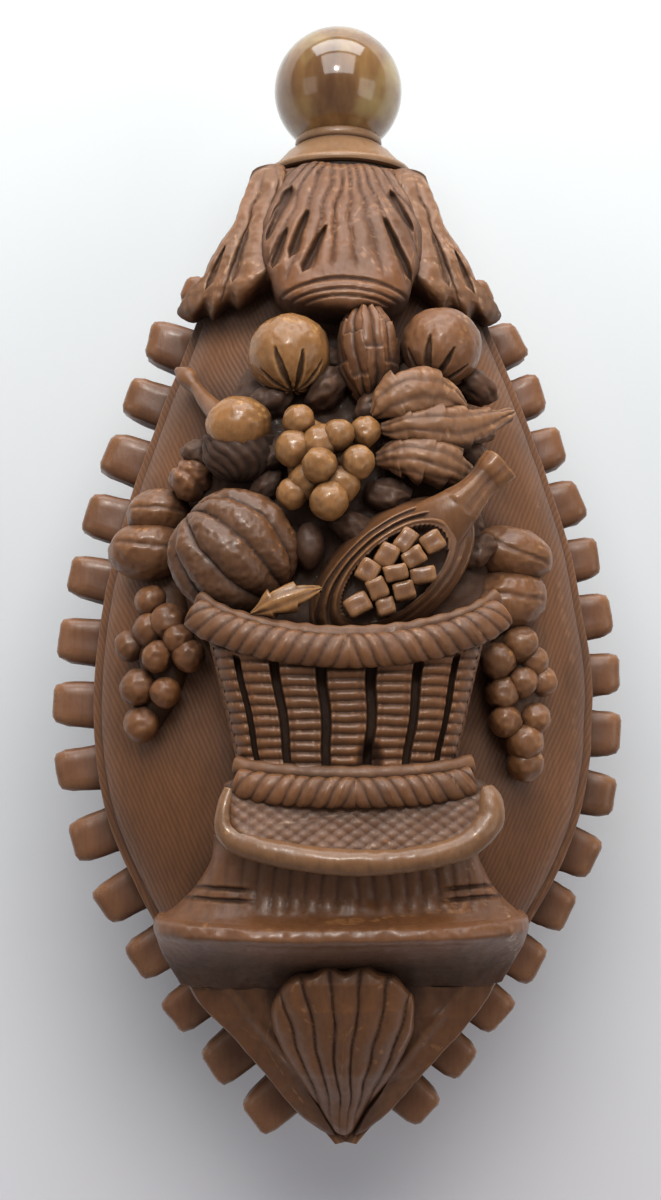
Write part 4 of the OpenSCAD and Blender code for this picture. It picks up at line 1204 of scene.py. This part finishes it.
def basket_shape():
    rows, columns = 150, 330
    t = np.linspace(0, 1, rows)[:, None]
    u = np.linspace(-1, 1, columns)[None, :]
    w = BASKET_HALF[0] + (BASKET_HALF[1] - BASKET_HALF[0]) * t
    bow = -2.0 * (1 - t) - 0.5 * t
    v = np.sqrt(np.maximum(1 - np.abs(u) ** 2.2, 0))
    front = BASKET_FRONT[0] + (BASKET_FRONT[1] - BASKET_FRONT[0]) * t
    z = BASKET_LOW + (front - BASKET_LOW) * v ** 0.7
    level = BASKET_TOP_Y + (BASKET_FOOT_Y - BASKET_TOP_Y) * t
    y = level + bow * v
    x = w * np.sin(u * math.pi / 2 * 0.98) / math.sin(math.pi / 2 * 0.98)
    # Staves with cut slots between them, and ribs across every stave.
    place = np.arcsin(np.clip(x / w, -1, 1)) / (math.pi / 2)
    lane = place * STAVES + 0.5 + 0.03 * np.sin(9 * t)
    off = lane - np.round(lane)
    inside = (np.abs(lane - 0.5) < 3.1).astype(float)
    slot = smoothstep(0.125, 0.075, np.abs(off)) * inside * smoothstep(0.03, 0.09, t) * smoothstep(0.985, 0.93, t)
    down = (y - BASKET_TOP_Y) / RIB_PITCH + 0.35 * np.round(lane + 0.5) + 0.12 * noise_at(x, y, 0, 2.0)
    ribs = ridge(down, 0.85)
    edges = smoothstep(0.30, 0.16, np.abs(off)) * inside
    z = z + (0.26 * (ribs - 0.5) - 0.10 * edges) * (1 - slot) - 1.5 * slot
    z = z + hand(x, y, 1.8, 0.10)
    # An old break near the foot shows a ragged hole, sunk and darkened.
    hole = np.exp(-(((x - 1.6) / 0.75) ** 2 + ((y + 16.9) / 1.2) ** 2) ** 1.5)
    z = z - 1.3 * hole
    dirt = np.clip(1.05 * slot + 0.55 * (1 - ribs) ** 1.5 * (1 - slot) + 0.9 * hole, 0, 1)
    # The hidden back is darkened with painted shade.
    under = np.linspace(1, -1, 14)[None, :]
    back = np.stack([w * under, level + 0 * under, BASKET_LOW - 2.6 * np.sqrt(1 - under**2) + 0 * t], -1)
    rings = np.concatenate([np.stack([x, y, z], -1), back], axis=1)
    return tube(rings, np.concatenate([dirt, np.full((rows, 14), 0.9)], axis=1))


def tray_top(x, y, s):
    z = 18.7 + 0.26 * (-17.9 - y) + 0.25 * (1 - (x / 9.7) ** 2)
    a = ridge((x + 1.5 * y) / 1.25, 0.9)
    b = ridge((x - 1.5 * y) / 1.25, 0.9)
    z = z + 0.045 * a + 0.045 * b + hand(x, y, 2.0, 0.09)
    # Painted shade darkens the whole tray a little and a painted shadow lies under the foot rope; the hatching's cuts
    # are darkened too.
    return z, np.clip(0.45 * (1 - a) ** 3 + 0.45 * (1 - b) ** 3 + 0.22 + 0.6 * smoothstep(-20.2, -18.8, y), 0, 1)


def stacked(levels, low, detail, rows=120, columns=260, depth=2.6):
    """A half-round block through levels of (y, half width, front height, shift); detail(x, y, v) carves it."""
    line = resample(levels, rows)[0]
    a = np.linspace(math.pi, 0, columns)[None, :]
    v = np.sin(a)
    x = line[:, 1:2] * np.cos(a) + line[:, 3:4]
    y = line[:, 0:1] - 0.6 * v
    z = low + (line[:, 2:3] - low) * np.abs(v) ** 0.55
    out, dirt = detail(x, y, v + 0 * x)
    z = z + out * np.clip(v * 3, 0, 1)
    # The underside is darkened with painted shade.
    under = np.linspace(0, math.pi, 14)[None, 1:-1]
    back = np.stack([line[:, 1:2] * np.cos(under) + line[:, 3:4], line[:, 0:1] + 0 * under,
                     low - depth * np.sin(under) + 0 * line[:, 0:1]], -1)
    rings = np.concatenate([np.stack([x, y, z], -1), back], axis=1)
    return tube(rings, np.concatenate([dirt, np.full((rows, back.shape[1]), 0.9)], axis=1))


def plinth_detail(x, y, v):
    flutes = ridge(x / 1.18 + 0.10 * (y + 25) * np.sign(x), 0.8)
    run = smoothstep(-22.6, -23.4, y) * smoothstep(-28.2, -27.2, y)
    # Short dark lines run outward low on both sides.
    lines = bell(y + 26.6 - 0.05 * np.abs(x), 0.16) + bell(y + 27.4 - 0.05 * np.abs(x), 0.14)
    lines = lines * smoothstep(6.5, 8.0, np.abs(x))
    out = 0.17 * (flutes - 0.6) * run * smoothstep(9.0, 6.0, -x) - 0.32 * lines + hand(x, y, 1.9, 0.20)
    # A painted shadow darkens the top of the plinth under the tray's lip; the flutes and the carved lines are darkened
    # too.
    return out, np.clip(0.35 * (1 - flutes) ** 1.7 * run + 0.9 * lines + 0.6 * smoothstep(-23.4, -22.4, y), 0, 1)


def slab_detail(x, y, v):
    # Painted shade darkens the slab's lower face, which slopes away from the light.
    return hand(x, y, 2.3, 0.32) + hand(x, y, 0.8, 0.10), 0.85 * smoothstep(-29.6, -32.2, y) + 0 * x


SCALLOP = [(-0.3, -32.3), (1.2, -31.8), (2.3, -32.4), (3.5, -32.7), (4.3, -33.6), (4.9, -34.3), (5.0, -35.8),
           (4.9, -37.4), (4.1, -39.4), (3.3, -41.3), (2.2, -43.4), (0.9, -45.4), (-0.1, -45.9), (-1.1, -45.4),
           (-2.3, -43.4), (-3.5, -41.2), (-4.6, -39.2), (-5.5, -37.0), (-5.7, -35.4), (-5.4, -34.4), (-4.7, -33.3),
           (-3.7, -32.5), (-2.6, -32.4), (-1.4, -31.8)]


def scallop_top(rise):
    """Height and groove darkening of the scallop at the tip."""
    def top(x, y, s):
        z = np.interp(y, [-46, -42.8, -40.4, -37.8, -35.2, -33.2, -31],
                      [4.0, 6.4 + rise / 2, 8.7 + rise, 10.7 + rise, 12.5 + rise, 13.2 + rise, 13.0 + rise])
        wide = np.interp(y, [-46, -42.8, -37, -32], [0.9, 2.4, 5.2, 5.6])
        z = z - 1.5 * np.clip(np.abs(x + 0.25) / wide, 0, 1.2) ** 2.2
        warp = 0.35 * noise_at(x, y, 7, 3.0)
        ribs = fan(x + 0.2 + warp, y, (0, -49.5), 7, 0.42, 0.5)[0]
        z = z + 0.55 * (ribs - 0.6) * smoothstep(-45.5, -41, y) + hand(x, y, 1.5, 0.16)
        return z, np.clip(0.8 * (1 - ribs) ** 2.0, 0, 1)
    return top


def make_stand():
    put("basket", basket_shape(), carved_nut, 0.03)
    rope = twisted((-11.0, -6.1, 18.7), (11.2, -6.2, 18.7), (0, -3.0, 2.6), 1.12, 1.1)
    # The cord under the rope is darkened with painted shade.
    under = arch((-10.9, -6.3, 18.5), (11.2, -6.3, 18.5), (0, -2.9, 2.5))
    rope.join(sweep([(0.98 * x, y + 1.30, z - 0.55, 0.55, 0.45, 0.9) for x, y, z in under], 120, 24,
                    lambda s, a, n: (0.10 * ridge(a / (2 * math.pi) * 3 + s) + 0.05 * np.sin(s * 90), 0.35 + 0 * s)))
    put("basket_rim_rope", rope, carved_nut, 0.05)
    rope = twisted((-7.9, -18.4, 18.8), (8.9, -18.4, 18.8), (0, -0.8, 1.3), 1.0, 1.1)
    # The cord under the rope is darkened with painted shade.
    under = arch((-8.1, -18.4, 18.6), (9.0, -18.4, 18.6), (0, -0.8, 1.3))
    rope.join(sweep([(x, y + 1.3, z - 0.6, 0.65, 0.5, 0.8) for x, y, z in under], 90, 20,
                    lambda s, a, n: (0.03 * np.sin(s * 60), 0.3 + 0 * s)))
    put("basket_foot_rope", rope, carved_nut, 0.05)
    plate = closed_curve([(-8.6, -18.3), (-4, -17.6), (0.3, -17.4), (4.6, -17.6), (9.7, -18.4), (10.0, -20.4),
                          (9.4, -22.2), (7.0, -23.3), (3.6, -23.9), (0.3, -24.0), (-3.0, -23.8), (-6.2, -23.1),
                          (-8.2, -21.9), (-8.6, -20.0)], 300)
    put("tray", pad((0.3, -20.6), plate, tray_top, 10.6, rings=90, round_off=0.4, edge=0.94), carved_nut,
        0.03)
    lip = [(-8.5, -18.9, 18.5, 0.5, 0.6, 1.2), (-8.9, -20.4, 18.8, 0.6, 0.7, 1.3),
           (-8.8, -21.7, 19.0, 0.75, 0.8, 1.4), (-7.9, -22.6, 19.3, 0.9, 0.8, 1.5),
           (-5.6, -23.3, 19.9, 0.95, 0.85, 1.6), (-3.0, -23.8, 20.2, 0.95, 0.9, 1.6),
           (0.4, -24.1, 20.4, 0.95, 0.9, 1.6), (3.8, -24.0, 20.3, 0.95, 0.9, 1.6),
           (6.8, -23.5, 20.0, 0.95, 0.85, 1.6), (8.9, -22.6, 19.5, 1.0, 0.85, 1.6),
           (10.0, -21.4, 19.1, 1.1, 0.9, 1.5), (10.2, -20.0, 18.8, 1.0, 0.9, 1.4), (9.9, -19.0, 18.4, 0.7, 0.6, 1.2)]
    put("tray_lip", sweep(lip, 220, 34, lambda s, a, n: (0.12 * noise_at(s * n, np.cos(a), np.sin(a), 1.6), 0 * s)),
        rim_nut, 0.05)
    levels = [(-22.2, 9.8, 18.2, -0.1), (-23.2, 9.9, 17.5, -0.1), (-24.2, 10.1, 17.1, -0.1),
              (-26.0, 11.1, 16.7, -0.2), (-27.4, 12.4, 17.2, -0.3), (-28.2, 13.4, 18.0, -0.4)]
    put("plinth", stacked(levels, 11.2, plinth_detail), carved_nut, 0.04)
    put("base_slab", stacked([(-28.1, 13.7, 18.2, -0.4), (-28.5, 14.0, 18.8, -0.4), (-29.2, 14.05, 18.9, -0.4),
                              (-29.8, 13.9, 17.6, -0.4), (-30.8, 13.6, 15.2, -0.4), (-32.0, 13.0, 12.6, -0.4),
                              (-33.4, 12.2, 10.6, -0.4)], 10.0, slab_detail, 90, 280, 3.0),
        slab_nut, 0.05)
    outline = closed_curve(SCALLOP, 300)
    put("front_scallop", pad((-0.3, -37.5), outline, scallop_top(1.4), 2.0, rings=100, round_off=0.9, edge=0.9),
        carved_nut, 0.03)
    back = pad((-0.3, -37.5), outline, scallop_top(-1.2), 2.0, rings=60, round_off=0.9, edge=0.9)
    put("back_scallop", mirrored(back), carved_nut, 0.03)

    corners = {-1: [(-12.6, -31.8), (-10.4, -32.2), (-7.6, -32.6), (-4.6, -33.0), (-3.9, -38.0), (-3.1, -41.5),
                    (-1.6, -44.2), (-0.9, -46.0), (-3.4, -44.4), (-6.3, -40.6), (-9.3, -37.0), (-11.5, -34.6)],
               1: [(12.0, -31.6), (9.9, -32.2), (7.6, -32.6), (4.4, -33.0), (3.7, -38.0), (2.9, -41.5),
                   (1.4, -44.2), (0.7, -46.0), (3.1, -44.2), (5.7, -41.0), (8.9, -37.2), (11.0, -34.4)]}

    def plate_top(x, y, s):
        z = np.interp(y, [-46, -44, -40, -36, -32], [3.6, 5.2, 8.2, 10.6, 11.6])
        outer = np.abs(x) - np.interp(y, [-46, -32], [0.5, 11.6])
        z = z - 1.4 * np.clip(np.abs(x) / 12, 0, 1) ** 1.5 + 0.30 * bell(outer + 1.3, 0.5)
        inner = np.abs(x) - np.interp(y, [-46, -40, -34], [0.9, 3.6, 5.4])
        # Painted shade darkens each strip along its inner edge, beside the scallop.
        return z + hand(x, y, 2.4, 0.30), 0.12 + 0.5 * smoothstep(1.2, 0.0, inner)
    for name, side in (("left_frame_strip", -1), ("right_frame_strip", 1)):
        strip = pad((side * 6.2, -38.2), closed_curve(corners[side], 240), plate_top, 1.8, 70, 0.9, 0.9)
        put(name, strip, carved_nut, 0.06)


def make_back():
    """The flat oval boss that the flask lies on, with a cord round its foot."""
    a = circle(200)
    levels = [(0.02, 0.50), (0.0, 0.90), (0.06, 0.965), (0.3, 0.99), (0.8, 1.0), (1.6, 0.985), (5.4, 1.0)]
    rings = [np.stack([11 * k * np.cos(a), 17 * k * np.sin(a), np.full_like(a, z - JOINT_Z)], -1) for z, k in levels]
    build("back_cartouche_carved", tube(rings), carved_nut, "flask", ["back_cartouche"], sharp_deg=50)
    b = circle(28)
    turns = circle(420)
    u, v = np.meshgrid(turns, b, indexing="ij")
    rope = ridge(u / (2 * math.pi) * 74 + v / (2 * math.pi) * 2, 0.8)
    r = 1.0 + 0.16 * (rope - 0.6)
    points = np.stack([(11.6 + r * np.cos(v)) * np.cos(u), (17.6 + r * np.cos(v)) * np.sin(u),
                       2.9 - JOINT_Z + r * np.sin(v)], -1)
    put("cartouche_rope", Shape().add(points, ring_faces(*u.shape), 0.8 * (1 - rope) ** 1.6), carved_nut)


make_collar()
make_fruit()
make_pod()
make_side_fruit()
make_stand()
make_back()
